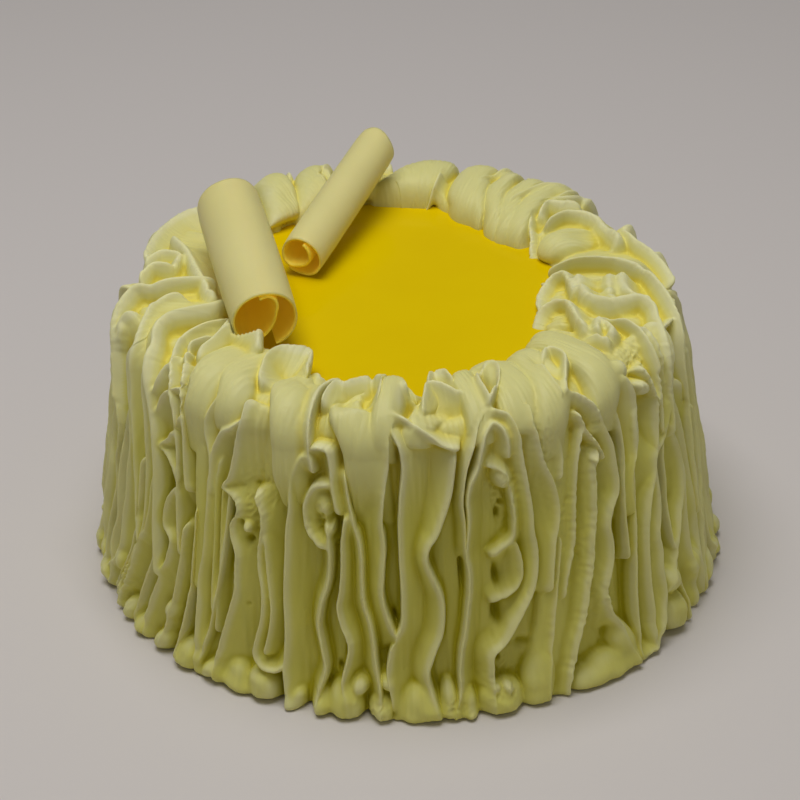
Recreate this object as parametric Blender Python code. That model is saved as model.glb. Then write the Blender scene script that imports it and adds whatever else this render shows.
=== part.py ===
"""A lemon curd cake: one round uncut cake with piped buttercream ruffles up its wall and folded over
its rim, a pool of lemon curd inside the rim, and two rolled curls of white chocolate resting on it.

Metres, +Z up, the front faces -Y. The origin is the middle of the foot, on the surface the cake stands on.
Angles round the cake are azimuths: 0 is the front and they grow towards +X.
"""

import math

import bpy
import numpy as np
from mathutils import Matrix, Vector

MM = 0.001

# Driving dimensions of the iced cake
FOOT_RADIUS = 96.5 * MM
SHOULDER_RADIUS = 85.0 * MM
SHOULDER_HEIGHT = 79.0 * MM
RIM_RADIUS = 71.0 * MM
RIM_HEIGHT = 92.0 * MM
BACK_RISE = 2.0 * MM
FOOT_INSET = 3.0 * MM
FOOT_HEIGHT = 3.5 * MM
TOP_SHIFT_X = -3.3 * MM
TOP_SHIFT_Y = 2.0 * MM

# The ruffles: thin sheets of buttercream that stand out of the wall, side by side
RUFFLES = 60
WALL_DEPTH = 9.5 * MM
RIM_DEPTH = 6.0 * MM
TIP_DEPTH = 2.0 * MM
EDGE_THICKNESS = 3.0 * MM
TIP_UNDERCUT = 1.0 * MM
SHARED_SWAY = 3.0 * MM
OWN_SWAY = 1.6 * MM
TIP_RADIUS_FRONT = 50.0 * MM
TIP_RADIUS_SIDE = 46.5 * MM
TIP_RADIUS_BACK = 58.0 * MM
WALL_ROWS = 9
RISE_ROWS = 3
FALL_ROWS = 4

# Depth of the ruffles by the wall's depth: where they stand, just above, and low and high on the wall
STANDING_DEPTH = 0.7
FOOT_DEPTH = 0.8
DEPTH_SWELL = 0.2
SWELL_SPREAD = 1.4

# A ruffle's cross-section: where its roots lie by the spacing, how far they stand out and swing by the
# edge's own measures, and how far the edge's second side stands out
ROOT_ANGLE = 0.27
ROOT_STANDING = 0.3
ROOT_SWING = 0.4
EDGE_SLANT = 0.95

# How one ruffle differs from the next: the measures of each lie at random between these
SEED = 11
SPACING_SPREAD = 0.14
DEPTH_RANGE = (0.82, 1.12)
LEAN_WAVE = 0.42
LEAN_SPREAD = 0.08
SWAY_RANGE = (0.5, 1.0)
WAVES_RANGE = (1.8, 3.4)
TIP_SPREAD_MM = 3.0
CROWN_SPREAD_MM = 1.3
FOOT_RANGE_MM = (-1.8, 0.4)

# The pool of curd, in a shallow well under the ends of the ruffles
CURD_LEVEL = 83.0 * MM
CURD_RADIUS = 63.0 * MM
CURD_DEPTH = 6.0 * MM
CURD_BEVEL = 1.0 * MM
CURD_SEGMENTS = 96
GAP = 0.3 * MM

# The chocolate curls: sheet thickness and the gap between its turns, then diameter, turns of the roll, the
# angle it starts at in radians and the middle of each end
SHEET_THICKNESS = 1.5 * MM
ROLL_GAP = 1.3 * MM
FREE_EDGE_TURNS = 0.1
STEPS_A_TURN = 26
SHARP_ANGLE = math.radians(40)
LARGE_DIAMETER = 20.6 * MM
LARGE_TURNS = 1.6
LARGE_START = 2.8
LARGE_NEAR_END = (-39.9 * MM, -37.5 * MM, 99.0 * MM)
LARGE_FAR_END = (-55.6 * MM, 31.0 * MM, 102.4 * MM)
SMALL_DIAMETER = 13.8 * MM
SMALL_TURNS = 1.7
SMALL_START = 3.6
SMALL_NEAR_END = (-32.6 * MM, 13.5 * MM, 89.9 * MM)
SMALL_FAR_END = (-10.2 * MM, 69.5 * MM, 100.2 * MM)


def clear_scene():
    """Empty the scene of the objects it starts with."""
    for obj in list(bpy.data.objects):
        bpy.data.objects.remove(obj, do_unlink=True)


def food_material(name, colour, roughness):
    """A Principled material with one base colour."""
    material = bpy.data.materials.new(name)
    material.use_nodes = True
    shader = material.node_tree.nodes["Principled BSDF"]
    shader.inputs["Base Color"].default_value = (*colour, 1.0)
    shader.inputs["Roughness"].default_value = roughness
    shader.inputs["Metallic"].default_value = 0.0
    material.diffuse_color = (*colour, 1.0)
    return material


def buttercream():
    return food_material("buttercream", (0.80, 0.78, 0.42), 0.55)


def lemon_glaze():
    return food_material("lemon_glaze", (0.75, 0.46, 0.0), 0.12)


def white_chocolate():
    return food_material("white_chocolate", (0.72, 0.62, 0.34), 0.4)


def mesh_object(name, points, faces, material):
    """A smooth-shaded mesh object from points in metres and faces as lists of point numbers."""
    mesh = bpy.data.meshes.new(name)
    mesh.from_pydata([tuple(point) for point in points], [], faces)
    mesh.materials.append(material)
    mesh.update()
    obj = bpy.data.objects.new(name, mesh)
    bpy.context.scene.collection.objects.link(obj)
    mesh.shade_smooth()
    return obj


def smooth_steps(values, places, at):
    """The values given at the places, joined by half cosine waves, read at the place asked for."""
    at = np.clip(at, places[0], places[-1])
    step = np.clip(np.searchsorted(places, at, side="right") - 1, 0, len(places) - 2)
    low, high = np.take(places, step), np.take(places, step + 1)
    part = 0.5 - 0.5 * np.cos(math.pi * (at - low) / (high - low))
    return np.take(values, step) * (1 - part) + np.take(values, step + 1) * part


def tip_radius(azimuth):
    """How far the inner ends of the ruffles stop from the middle, by azimuth."""
    side = np.abs(np.angle(np.exp(1j * azimuth)))
    values = (TIP_RADIUS_FRONT, TIP_RADIUS_SIDE, TIP_RADIUS_BACK)
    return smooth_steps(values, (0.0, math.pi / 2, math.pi), side)


class Ruffles:
    """The seeded measures of every ruffle, one array entry each."""

    def __init__(self):
        draw = np.random.default_rng(SEED)
        self.pitch = 2 * math.pi / RUFFLES
        spacing = draw.uniform(-SPACING_SPREAD, SPACING_SPREAD, RUFFLES)
        self.azimuth = self.pitch * (np.arange(RUFFLES) + spacing)
        self.depth = draw.uniform(*DEPTH_RANGE, RUFFLES)
        lean = draw.uniform(-LEAN_SPREAD, LEAN_SPREAD, RUFFLES)
        self.lean = LEAN_WAVE * np.sin(3 * self.azimuth + 0.6) + lean
        self.sway = draw.uniform(*SWAY_RANGE, RUFFLES)
        self.waves = draw.uniform(*WAVES_RANGE, RUFFLES)
        self.phase = draw.uniform(0, 2 * math.pi, RUFFLES)
        self.tip = tip_radius(self.azimuth) + draw.uniform(-TIP_SPREAD_MM, TIP_SPREAD_MM, RUFFLES) * MM
        crown = draw.uniform(-CROWN_SPREAD_MM, CROWN_SPREAD_MM, RUFFLES) * MM
        self.crown = crown - 0.5 * BACK_RISE * (np.cos(self.azimuth + 0.4) - 1)
        self.foot = draw.uniform(*FOOT_RANGE_MM, RUFFLES) * MM


def edge_rows(ruffles):
    """Radius, height and depth of every ruffle's outer edge, row by row. The first two rows are its foot,
    then the wall runs straight up and in to the shoulder, and the rim is an arch of two quarter
    ellipses, from the shoulder up to its crown and from there down to the ruffle's tip."""
    ones = np.ones(RUFFLES)
    foot = FOOT_RADIUS + ruffles.foot
    rows = [
        (foot - FOOT_INSET, 0.0 * ones, STANDING_DEPTH * WALL_DEPTH * ones),
        (foot, FOOT_HEIGHT * ones, FOOT_DEPTH * WALL_DEPTH * ones),
    ]
    for share in np.linspace(0, 1, WALL_ROWS + 1)[1:]:
        radius = foot + (SHOULDER_RADIUS - foot) * share
        swell = math.sin(math.pi * min(1.0, SWELL_SPREAD * share))
        depth = WALL_DEPTH * (FOOT_DEPTH + DEPTH_SWELL * swell)
        rows.append((radius, SHOULDER_HEIGHT * share * ones, depth * ones))
    crown = RIM_HEIGHT + ruffles.crown
    for share in np.linspace(0, 1, RISE_ROWS + 1)[1:]:
        turn = math.pi / 2 * share
        radius = RIM_RADIUS + (SHOULDER_RADIUS - RIM_RADIUS) * math.cos(turn)
        height = SHOULDER_HEIGHT + (crown - SHOULDER_HEIGHT) * math.sin(turn)
        depth = WALL_DEPTH + (RIM_DEPTH - WALL_DEPTH) * share
        rows.append((radius * ones, height, depth * ones))
    tip_level = CURD_LEVEL + TIP_DEPTH
    for share in np.linspace(0, 1, FALL_ROWS + 1)[1:]:
        turn = math.pi / 2 * share
        radius = RIM_RADIUS + (ruffles.tip - RIM_RADIUS) * math.sin(turn)
        height = tip_level + (crown - tip_level) * math.cos(turn)
        depth = RIM_DEPTH + (TIP_DEPTH - RIM_DEPTH) * share
        rows.append((radius, height, depth * ones))
    return [np.array(part) for part in zip(*rows)]


def sway_of(ruffles, share):
    """Sideways sway of the outer edges in metres: two slow waves that neighbours share, and a wave of
    each ruffle's own."""
    shared = np.sin(5 * ruffles.azimuth + 4.0 * share) + 0.7 * np.sin(9 * ruffles.azimuth - 7.0 * share)
    own = ruffles.sway * np.sin(2 * math.pi * ruffles.waves * share + ruffles.phase)
    return SHARED_SWAY * shared + OWN_SWAY * own


def ruffle_skin(ruffles):
    """Points of the ruffled skin as rows by columns: each ruffle has five columns, which are the valley
    before it, its root, both sides of its outer edge and its root again. A column lies below the outer
    edge, square to the skin, by what is left of the ruffle's depth there."""
    radius, height, depth = edge_rows(ruffles)
    half_edge = 0.5 * EDGE_THICKNESS / SHOULDER_RADIUS
    columns = (
        (-0.5 * ruffles.pitch, 0.0, 0.0),
        (-ROOT_ANGLE * ruffles.pitch, ROOT_STANDING, ROOT_SWING),
        (-half_edge, 1.0, 1.0),
        (half_edge, EDGE_SLANT, 1.0),
        (ROOT_ANGLE * ruffles.pitch, ROOT_STANDING, ROOT_SWING),
    )
    along_r = np.gradient(radius, axis=0)
    along_z = np.gradient(height, axis=0)
    length = np.hypot(along_r, along_z)
    inward_r, inward_z = -along_z / length, along_r / length
    inward_r[0], inward_z[0] = -1.0, 0.0
    inward_r[-1], inward_z[-1] = 0.3, -0.3
    share = np.linspace(0, 1, len(radius))[:, None]
    points = np.empty((len(radius), RUFFLES, len(columns), 3))
    for number, (angle, standing, swing) in enumerate(columns):
        sunk = depth * ruffles.depth * (1 - standing)
        r = radius + inward_r * sunk
        shift = sway_of(ruffles, share) * swing + ruffles.lean * depth * standing
        turn = ruffles.azimuth + angle + shift / SHOULDER_RADIUS
        points[:, :, number, 0] = r * np.sin(turn)
        points[:, :, number, 1] = -r * np.cos(turn)
        points[:, :, number, 2] = np.maximum(height + inward_z * sunk, 0.0)
    return points.reshape(len(radius), -1, 3)


def ring(radius, around, height):
    """Points at one height, at each azimuth of around."""
    level = height * np.ones_like(around)
    return np.stack([radius * np.sin(around), -radius * np.cos(around), level], axis=1)


def band(low, high, count):
    """Four-sided faces between two rings of the same count, whose first points are low and high."""
    faces = []
    for column in range(count):
        after = (column + 1) % count
        faces.append((low + column, low + after, high + after, high + column))
    return faces


def iced_cake(ruffles):
    """The cake with its buttercream as one solid. The ruffled skin runs up the wall, over the rim and in
    to the tips. Under the tips a flat shelf leads back out to the well that holds the curd. The cake's
    foot and the well's floor are one flat face each."""
    skin = ruffle_skin(ruffles)
    rows, count = skin.shape[:2]
    skin = skin.reshape(-1, 3)
    lip = skin[-count:]
    around = np.arctan2(lip[:, 0], -lip[:, 1])
    shelf = CURD_LEVEL + GAP
    under_tips = ring(np.hypot(lip[:, 0], lip[:, 1]) + TIP_UNDERCUT, around, shelf)
    each = count // RUFFLES
    well_top = ring(CURD_RADIUS + GAP, around[::each], shelf)
    well_foot = ring(CURD_RADIUS + GAP, around[::each], CURD_LEVEL - CURD_DEPTH - GAP)
    points = np.concatenate([skin, under_tips, well_top, well_foot])
    lifted = np.clip(points[:, 2] / SHOULDER_HEIGHT, 0, 1)
    points[:, 0] += TOP_SHIFT_X * lifted
    points[:, 1] += TOP_SHIFT_Y * lifted
    faces = [tuple(reversed(range(count)))]
    for row in range(rows):
        faces += band(row * count, (row + 1) * count, count)
    inner, outer = rows * count, (rows + 1) * count
    for ruffle in range(RUFFLES):
        after = (ruffle + 1) % RUFFLES
        edge = [inner + (ruffle * each + step) % count for step in range(each + 1)]
        faces.append((*edge, outer + after, outer + ruffle))
    faces += band(outer, outer + RUFFLES, RUFFLES)
    faces.append(tuple(range(outer + RUFFLES, outer + 2 * RUFFLES)))
    return mesh_object("iced_cake", points, faces, buttercream())


def lemon_curd():
    """The pool of curd: a flat disc with bevelled edges, in its well."""
    around = np.linspace(0, 2 * math.pi, CURD_SEGMENTS, endpoint=False)
    rings = (
        ring(CURD_RADIUS - CURD_BEVEL, around, CURD_LEVEL - CURD_DEPTH),
        ring(CURD_RADIUS, around, CURD_LEVEL - CURD_DEPTH + CURD_BEVEL),
        ring(CURD_RADIUS, around, CURD_LEVEL - CURD_BEVEL),
        ring(CURD_RADIUS - CURD_BEVEL, around, CURD_LEVEL),
    )
    points = np.concatenate(rings) + (TOP_SHIFT_X, TOP_SHIFT_Y, 0.0)
    last = (len(rings) - 1) * CURD_SEGMENTS
    faces = [tuple(reversed(range(CURD_SEGMENTS))), tuple(range(last, last + CURD_SEGMENTS))]
    for row in range(len(rings) - 1):
        faces += band(row * CURD_SEGMENTS, (row + 1) * CURD_SEGMENTS, CURD_SEGMENTS)
    return mesh_object("lemon_curd", points, faces, lemon_glaze())


def chocolate_curl(name, diameter, turns, near_end, far_end, start):
    """A rolled curl: a sheet whose cross-section is a spiral that winds inwards from the outer edge,
    carried straight from the near end to the far end."""
    steps = int(STEPS_A_TURN * turns)
    angles = start + np.linspace(0, 2 * math.pi * turns, steps)
    pitch = SHEET_THICKNESS + ROLL_GAP
    outer = diameter / 2 - pitch * np.maximum(0.0, np.linspace(0, turns, steps) - FREE_EDGE_TURNS)
    inner = outer - SHEET_THICKNESS
    outline = np.concatenate([
        np.stack([outer * np.cos(angles), outer * np.sin(angles)], axis=1),
        np.stack([inner * np.cos(angles), inner * np.sin(angles)], axis=1)[::-1],
    ])
    axis = Vector(far_end) - Vector(near_end)
    sideways = Vector((0, 0, 1)).cross(axis).normalized()
    upright = axis.cross(sideways).normalized()
    place = Matrix((sideways, upright, axis.normalized())).transposed()
    count = len(outline)
    points = []
    for share in (0.0, 0.5, 1.0):
        centre = Vector(near_end) + axis * share
        for u, v in outline:
            points.append(centre + place @ Vector((u, v, 0.0)))
    faces = band(0, count, count) + band(count, 2 * count, count)
    for step in range(steps - 1):
        other = count - 1 - step
        faces.append((step + 1, step, other, other - 1))
        far = 2 * count
        faces.append((far + step, far + step + 1, far + other - 1, far + other))
    curl = mesh_object(name, points, faces, white_chocolate())
    curl.data.set_sharp_from_angle(angle=SHARP_ANGLE)
    return curl


def main():
    clear_scene()
    ruffles = Ruffles()
    iced_cake(ruffles)
    lemon_curd()
    large = (LARGE_DIAMETER, LARGE_TURNS, LARGE_NEAR_END, LARGE_FAR_END, LARGE_START)
    small = (SMALL_DIAMETER, SMALL_TURNS, SMALL_NEAR_END, SMALL_FAR_END, SMALL_START)
    chocolate_curl("chocolate_curl_large", *large)
    chocolate_curl("chocolate_curl_small", *small)


main()
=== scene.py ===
"""A lemon curd cake with ruffled buttercream and two white chocolate curls, dressed over its solids."""

import math

import bpy
import numpy as np
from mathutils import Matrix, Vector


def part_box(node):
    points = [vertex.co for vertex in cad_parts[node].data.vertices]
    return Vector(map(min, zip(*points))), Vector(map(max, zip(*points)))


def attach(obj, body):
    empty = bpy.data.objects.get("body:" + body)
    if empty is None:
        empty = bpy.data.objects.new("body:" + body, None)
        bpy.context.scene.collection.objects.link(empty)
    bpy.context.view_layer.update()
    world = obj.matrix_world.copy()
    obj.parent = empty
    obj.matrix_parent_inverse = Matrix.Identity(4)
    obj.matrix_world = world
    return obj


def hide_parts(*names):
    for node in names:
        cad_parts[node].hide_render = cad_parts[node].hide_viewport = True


bl_info = {
    "name": "Ruffled lemon curd cake",
    "version": (1, 0, 0),
    "blender": (4, 5, 0),
    "location": "3D View > Sidebar > Cake",
    "description": "Pipes buttercream ruffles round a cake, pours its curd and lays chocolate curls on it",
    "category": "Add Mesh",
}

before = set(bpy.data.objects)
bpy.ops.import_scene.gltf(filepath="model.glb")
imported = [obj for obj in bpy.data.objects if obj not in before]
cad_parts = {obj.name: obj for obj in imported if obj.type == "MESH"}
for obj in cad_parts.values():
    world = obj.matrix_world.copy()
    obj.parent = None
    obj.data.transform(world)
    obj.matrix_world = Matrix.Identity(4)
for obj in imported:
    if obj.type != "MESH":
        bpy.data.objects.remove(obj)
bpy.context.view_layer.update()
MM = 0.001

CURD_LOW, CURD_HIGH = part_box("lemon_curd")
TOP_X = (CURD_HIGH.x + CURD_LOW.x) / 2
TOP_Y = (CURD_HIGH.y + CURD_LOW.y) / 2

# The camera that fits the photograph: focal length in pixels of its 800 pixel frame, tilt below level,
# distance, and the pixel that the middle of the cake's foot falls on
PHOTO_SIDE = 800.0
FOCAL_PIXELS = 2500.0
CAMERA_TILT = math.radians(31.07)
CAMERA_DISTANCE = 781.7 * MM
FOOT_PIXEL = (409.2, 532.6)
SENSOR_WIDTH = 36.0
CLIP_START = 0.01
FLOOR_REACH = 3.0
FLOOR_COLOUR = (0.70, 0.66, 0.645)
WORLD_COLOUR = (1.0, 0.98, 0.94)
WORLD_STRENGTH = 0.125
LIGHT_AIM = (0, 0, 0.05)
LIGHTS = (
    # Name, place, size in metres, power in watts and colour
    ("key", (-0.12, -0.06, 1.1), 0.66, 7.3, (1.0, 0.99, 0.98)),
    ("fill", (0.55, -1.45, 0.9), 1.6, 1.35, (1.0, 0.95, 0.62)),
)

# The skin of cream: the half angle in degrees that has fine columns, the pieces that it is cut into, the
# room under its foot, the bumps of the ground between folds, and the step that its slope is taken over
FRONT = 66
SECTORS = 8
STAND = 0.15 * MM
GROUND_BUMPS = 0.28 * MM
SLOPE_STEP = 0.004

# A fold: the lean in degrees from which it is a flat band, the least width of its face and that width by
# the fold's own, the reach kept round it, and how its ends, its ragged edge and a band's top are shaped
BAND_LEAN = 75
FACE_LEAST = 2.6 * MM
FACE_BY_WIDTH = 1.15
FOLD_MARGIN = 4 * MM
TURN_RADIUS = 70 * MM
END_ROUND = 3.2 * MM
RAG_DEPTH = 0.2 * MM
RAG_FADE = 1.5 * MM
RAG_WAVE = 0.7 * MM
RAG_SWING = 2.3 * MM
BAND_EDGE = 0.5 * MM
BAND_ROUND = 2.6
BAND_TILT = 0.06
BAND_OVERHANG = 0.15

# Waves on the cream: their count, the lengths in millimetres across and up the wall, and the seed
DRAG_WAVES = (18, (1.2, 4.0), (8.0, 30.0), 21)
CRAG_WAVES = (26, (1.6, 5.0), (1.6, 5.0), 22)
FOOT_WAVES = (24, (4.0, 12.0), (4.0, 12.0), 23)
CRAG_LEVEL = 0.7
FOOT_WAVES_LOW, FOOT_WAVES_HIGH = 0.02, 0.16

# The cream under a roll: how steeply it may rise past the roll's ends, and how far past them it is held
PRESS_SLOPE = 2.6
PRESS_REACH = 8 * MM

# The pool: the share of its radius where its edge turns down, how far, its swells, and the point under it
# that closes the cream's skin
POOL_EDGE = 0.97
POOL_DROP = 1.5 * MM
POOL_SWELL = 0.12 * MM
UNDER_POOL = 1 * MM


# Numbers and curves


def smooth(low, high, value):
    """0 below low, 1 above high, and an S-shaped cubic between them."""
    part = np.clip((value - low) / (high - low), 0.0, 1.0)
    return part * part * (3 - 2 * part)


WAVE_SHARES = (0.6, 1.0, 1.7, 2.6)


def wander(draw, along, waves, size):
    """A wandering curve: sine waves of random phase, whose counts lie round the given count of waves,
    added up and scaled to about the given size."""
    total = np.zeros_like(along)
    for share in WAVE_SHARES:
        phase = draw.uniform(0, 2 * math.pi)
        total += np.sin(2 * math.pi * waves * share * along + phase) / share**0.7
    return size * total / 1.8


def unit(vectors):
    """Vectors scaled to length 1 along the last axis."""
    length = np.linalg.norm(vectors, axis=-1, keepdims=True)
    return vectors / np.maximum(length, 1e-12)


# Meshes


def grid_faces(rows, columns):
    """Quads between neighbouring rows of a grid whose columns close into a loop."""
    row = np.arange(rows - 1)[:, None] * columns
    column = np.arange(columns)[None, :]
    after = (column + 1) % columns
    quads = np.stack([row + column, row + after, row + columns + after, row + columns + column], axis=-1)
    return quads.reshape(-1, 4)


def capped_tube(rings):
    """Points and faces of a closed skin: rings of points in order, and a fan onto the middle of the first
    ring and of the last. Returns points, quads and triangles."""
    rows, columns = rings.shape[:2]
    points = np.concatenate([rings.reshape(-1, 3), rings[:1].mean(axis=1), rings[-1:].mean(axis=1)])
    column = np.arange(columns)
    after = (column + 1) % columns
    first = np.full(columns, rows * columns)
    start = np.stack([first, after, column], axis=-1)
    end = np.stack([first + 1, (rows - 1) * columns + column, (rows - 1) * columns + after], axis=-1)
    return points, grid_faces(rows, columns), np.concatenate([start, end])


def mesh_piece(name, points, quads, triangles, values):
    """One smooth-shaded piece from a skin: points, quads, triangles and a dictionary of values per point,
    which become the mesh's attributes."""
    mesh = bpy.data.meshes.new(name)
    mesh.vertices.add(len(points))
    mesh.vertices.foreach_set("co", points.astype(np.float32).ravel())
    corners = np.concatenate([quads.ravel(), triangles.ravel()]).astype(np.int32)
    mesh.loops.add(len(corners))
    mesh.loops.foreach_set("vertex_index", corners)
    mesh.polygons.add(len(quads) + len(triangles))
    sizes = np.concatenate([np.full(len(quads), 4), np.full(len(triangles), 3)])
    mesh.polygons.foreach_set("loop_start", np.concatenate([[0], np.cumsum(sizes)[:-1]]).astype(np.int32))
    mesh.update(calc_edges=True)
    mesh.validate()
    for key, each in values.items():
        mesh.attributes.new(key, "FLOAT", "POINT").data.foreach_set("value", each.astype(np.float32))
    mesh.shade_smooth()
    piece = bpy.data.objects.new(name, mesh)
    bpy.context.scene.collection.objects.link(piece)
    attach(piece, "root")
    return piece


# Shader expressions


class Wire:
    """One output of a node. Arithmetic on it adds Math nodes and gives another Wire."""

    def __init__(self, shader, socket):
        self.shader = shader
        self.socket = socket

    def math(self, operation, *values, clamp=False):
        inputs = {number: value for number, value in enumerate(values)}
        return self.shader.node("Math", {"operation": operation, "use_clamp": clamp}, inputs)

    def __add__(self, other):
        return self.math("ADD", self, other)

    def __sub__(self, other):
        return self.math("SUBTRACT", self, other)

    def __mul__(self, other):
        return self.math("MULTIPLY", self, other)

    def __rsub__(self, other):
        return self.math("SUBTRACT", other, self)

    __radd__ = __add__
    __rmul__ = __mul__

    def clamped(self):
        return self.math("ADD", self, 0.0, clamp=True)

    def ramp(self, low, high):
        """0 where this is below low, 1 above high, smooth between."""
        settings = {"interpolation_type": "SMOOTHSTEP"}
        return self.shader.node("MapRange", settings, {"Value": self, "From Min": low, "From Max": high})


class Shader:
    """A material and its node tree round one Principled shader."""

    def __init__(self, name, **constants):
        self.material = bpy.data.materials.new(name)
        self.material.use_nodes = True
        self.tree = self.material.node_tree
        self.principled = self.tree.nodes["Principled BSDF"]
        self.principled.subsurface_method = "BURLEY"
        for socket, value in constants.items():
            self.principled.inputs[socket.replace("_", " ")].default_value = value

    def node(self, kind, settings=None, inputs=None, output=0):
        """Adds a node: its type without the ShaderNode prefix, settings, and values or Wires of its
        sockets by name or number. Returns the Wire of the output asked for."""
        node = self.tree.nodes.new("ShaderNode" + kind)
        for setting, value in (settings or {}).items():
            setattr(node, setting, value)
        for socket, value in (inputs or {}).items():
            if isinstance(value, Wire):
                self.tree.links.new(value.socket, node.inputs[socket])
            else:
                node.inputs[socket].default_value = value
        return Wire(self, node.outputs[output])

    def put(self, socket, wire):
        self.tree.links.new(wire.socket, self.principled.inputs[socket])

    def place(self):
        return self.node("TexCoord", output="Object")

    def attribute(self, name):
        return self.node("Attribute", {"attribute_name": name}, output="Fac")

    def noise(self, vector, scale, detail=3.0, roughness=0.5):
        inputs = {"Vector": vector, "Scale": scale, "Detail": detail, "Roughness": roughness}
        return self.node("TexNoise", {}, inputs)

    def stretched(self, vector, x, y, z):
        inputs = {0: vector, 1: (x, y, z)}
        return self.node("VectorMath", {"operation": "MULTIPLY"}, inputs)

    def mix(self, factor, first, second):
        """Two colours mixed by a factor."""
        return self.node("Mix", {"data_type": "RGBA"}, {0: factor, 6: first, 7: second}, output=2)

    def bump(self, height, strength, distance):
        inputs = {"Height": height, "Strength": strength, "Distance": distance}
        return self.node("Bump", {}, inputs)


def colour(values):
    return (*values, 1.0)


def buttercream_finish(sizes):
    """Whipped buttercream with painted light and shade: painted light on the ruffles' edges, a painted golden
    glow in the rim's hollows, painted olive shade in the creases of the wall, and faces painted lighter
    towards the top; with faint drag marks, fine grain and a few air bubbles."""
    shader = Shader("whipped_buttercream", Roughness=0.5, Specular_IOR_Level=0.3, Subsurface_Weight=0.3,
                    Subsurface_Radius=(1.0, 0.75, 0.2), Subsurface_Scale=1.4 * MM)
    place = shader.place()
    crease = shader.attribute("crease")
    depth = shader.attribute("depth")
    cloud = shader.noise(place, 35.0)
    height = shader.node("SeparateXYZ", {}, {0: place}, output=2)
    # Painted light and shade by height: the cream is painted lighter from the wall up to the top, where the
    # light falls.
    lit = height.ramp(0.055, 0.086)
    # Painted colour of the hollows: olive shade in the creases of the wall, and a golden glow in the rim's
    # hollows higher up.
    hollow = shader.mix(lit, colour(sizes.cream_crease_shade), colour(sizes.cream_hollow_glow))
    # The faces: painted shade low on the wall and painted light on the top, with random duller and brighter
    # patches.
    face = shader.mix(cloud * 0.3 + lit * 0.7, colour(sizes.cream_shaded_and_dull), colour(sizes.cream_lit_and_bright))
    # Where the painted shade and glow of the hollows go: the creases and the deep places between the folds.
    deep = (crease.ramp(0.0, 0.8) * 0.9 + depth.ramp(0.1, 0.8) * 0.35 + (cloud - 0.5) * 0.15).clamped()
    # Painted light on the crests, stronger towards the top.
    pale = (-1.0 * crease).ramp(0.0, 0.7) * (lit * 0.3 + 0.6)
    shader.put("Base Color", shader.mix(deep, shader.mix(pale, face, colour(sizes.cream_crest_light)), hollow))
    grain = shader.noise(place, 900.0, 2.0)
    drag = shader.noise(shader.stretched(place, 1.0, 1.0, 0.12), 420.0, 2.0)
    bubbles = shader.node("TexVoronoi", {}, {"Vector": place, "Scale": 190.0})
    pits = bubbles.ramp(0.05, 0.16)
    relief = grain * 0.25 + drag * 0.5 + pits * 0.6
    shader.put("Normal", shader.bump(relief, 0.35, 0.25 * MM))
    shader.put("Roughness", 0.46 + cloud * 0.12)
    return shader.material


def curd_finish(sizes):
    """Lemon curd: a strong clear yellow with a wet gloss, a little deeper in patches."""
    shader = Shader("lemon_curd_glaze", Roughness=0.12, Specular_IOR_Level=0.03, Coat_Weight=0.03,
                    Coat_Roughness=0.02)
    place = shader.place()
    cloud = shader.noise(place, 30.0)
    shader.put("Base Color", shader.mix(cloud, colour(sizes.curd_low), colour(sizes.curd_high)))
    ripple = shader.noise(place, 60.0, 1.0)
    shader.put("Normal", shader.bump(ripple, 0.15, 0.4 * MM))
    return shader.material


def chocolate_finish(sizes):
    """White chocolate: ivory, waxy, with fine scrape lines across the roll, and on the roll's inner faces a
    painted golden shade and a faint painted glow.
    """
    # The faint emission is a painted glow of light through the roll's sheet, on its inner faces.
    shader = Shader("white_chocolate", Roughness=0.42, Emission_Strength=0.05, Specular_IOR_Level=0.25,
                    Subsurface_Weight=0.6, Subsurface_Radius=(1.0, 0.75, 0.2), Subsurface_Scale=2.2 * MM)
    place = shader.place()
    cloud = shader.noise(place, 60.0)
    face = shader.mix(cloud, colour(sizes.chocolate_low), colour(sizes.chocolate_high))
    # Painted shade and glow inside the roll: its inner faces are painted golden and given the emitted glow.
    inside = shader.attribute("inside")
    shader.put("Base Color", shader.mix(inside, face, colour(sizes.chocolate_inside_shade_glow)))
    shader.put("Emission Color", shader.mix(inside, colour((0.0, 0.0, 0.0)), colour(sizes.chocolate_glow)))
    along = shader.attribute("along")
    scrape = shader.noise(shader.node("CombineXYZ", {}, {0: along * 40.0, 1: 0.0, 2: 0.0}), 60.0, 3.0)
    shader.put("Normal", shader.bump(scrape, 0.2, 0.2 * MM))
    return shader.material


# The cake's outline


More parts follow.
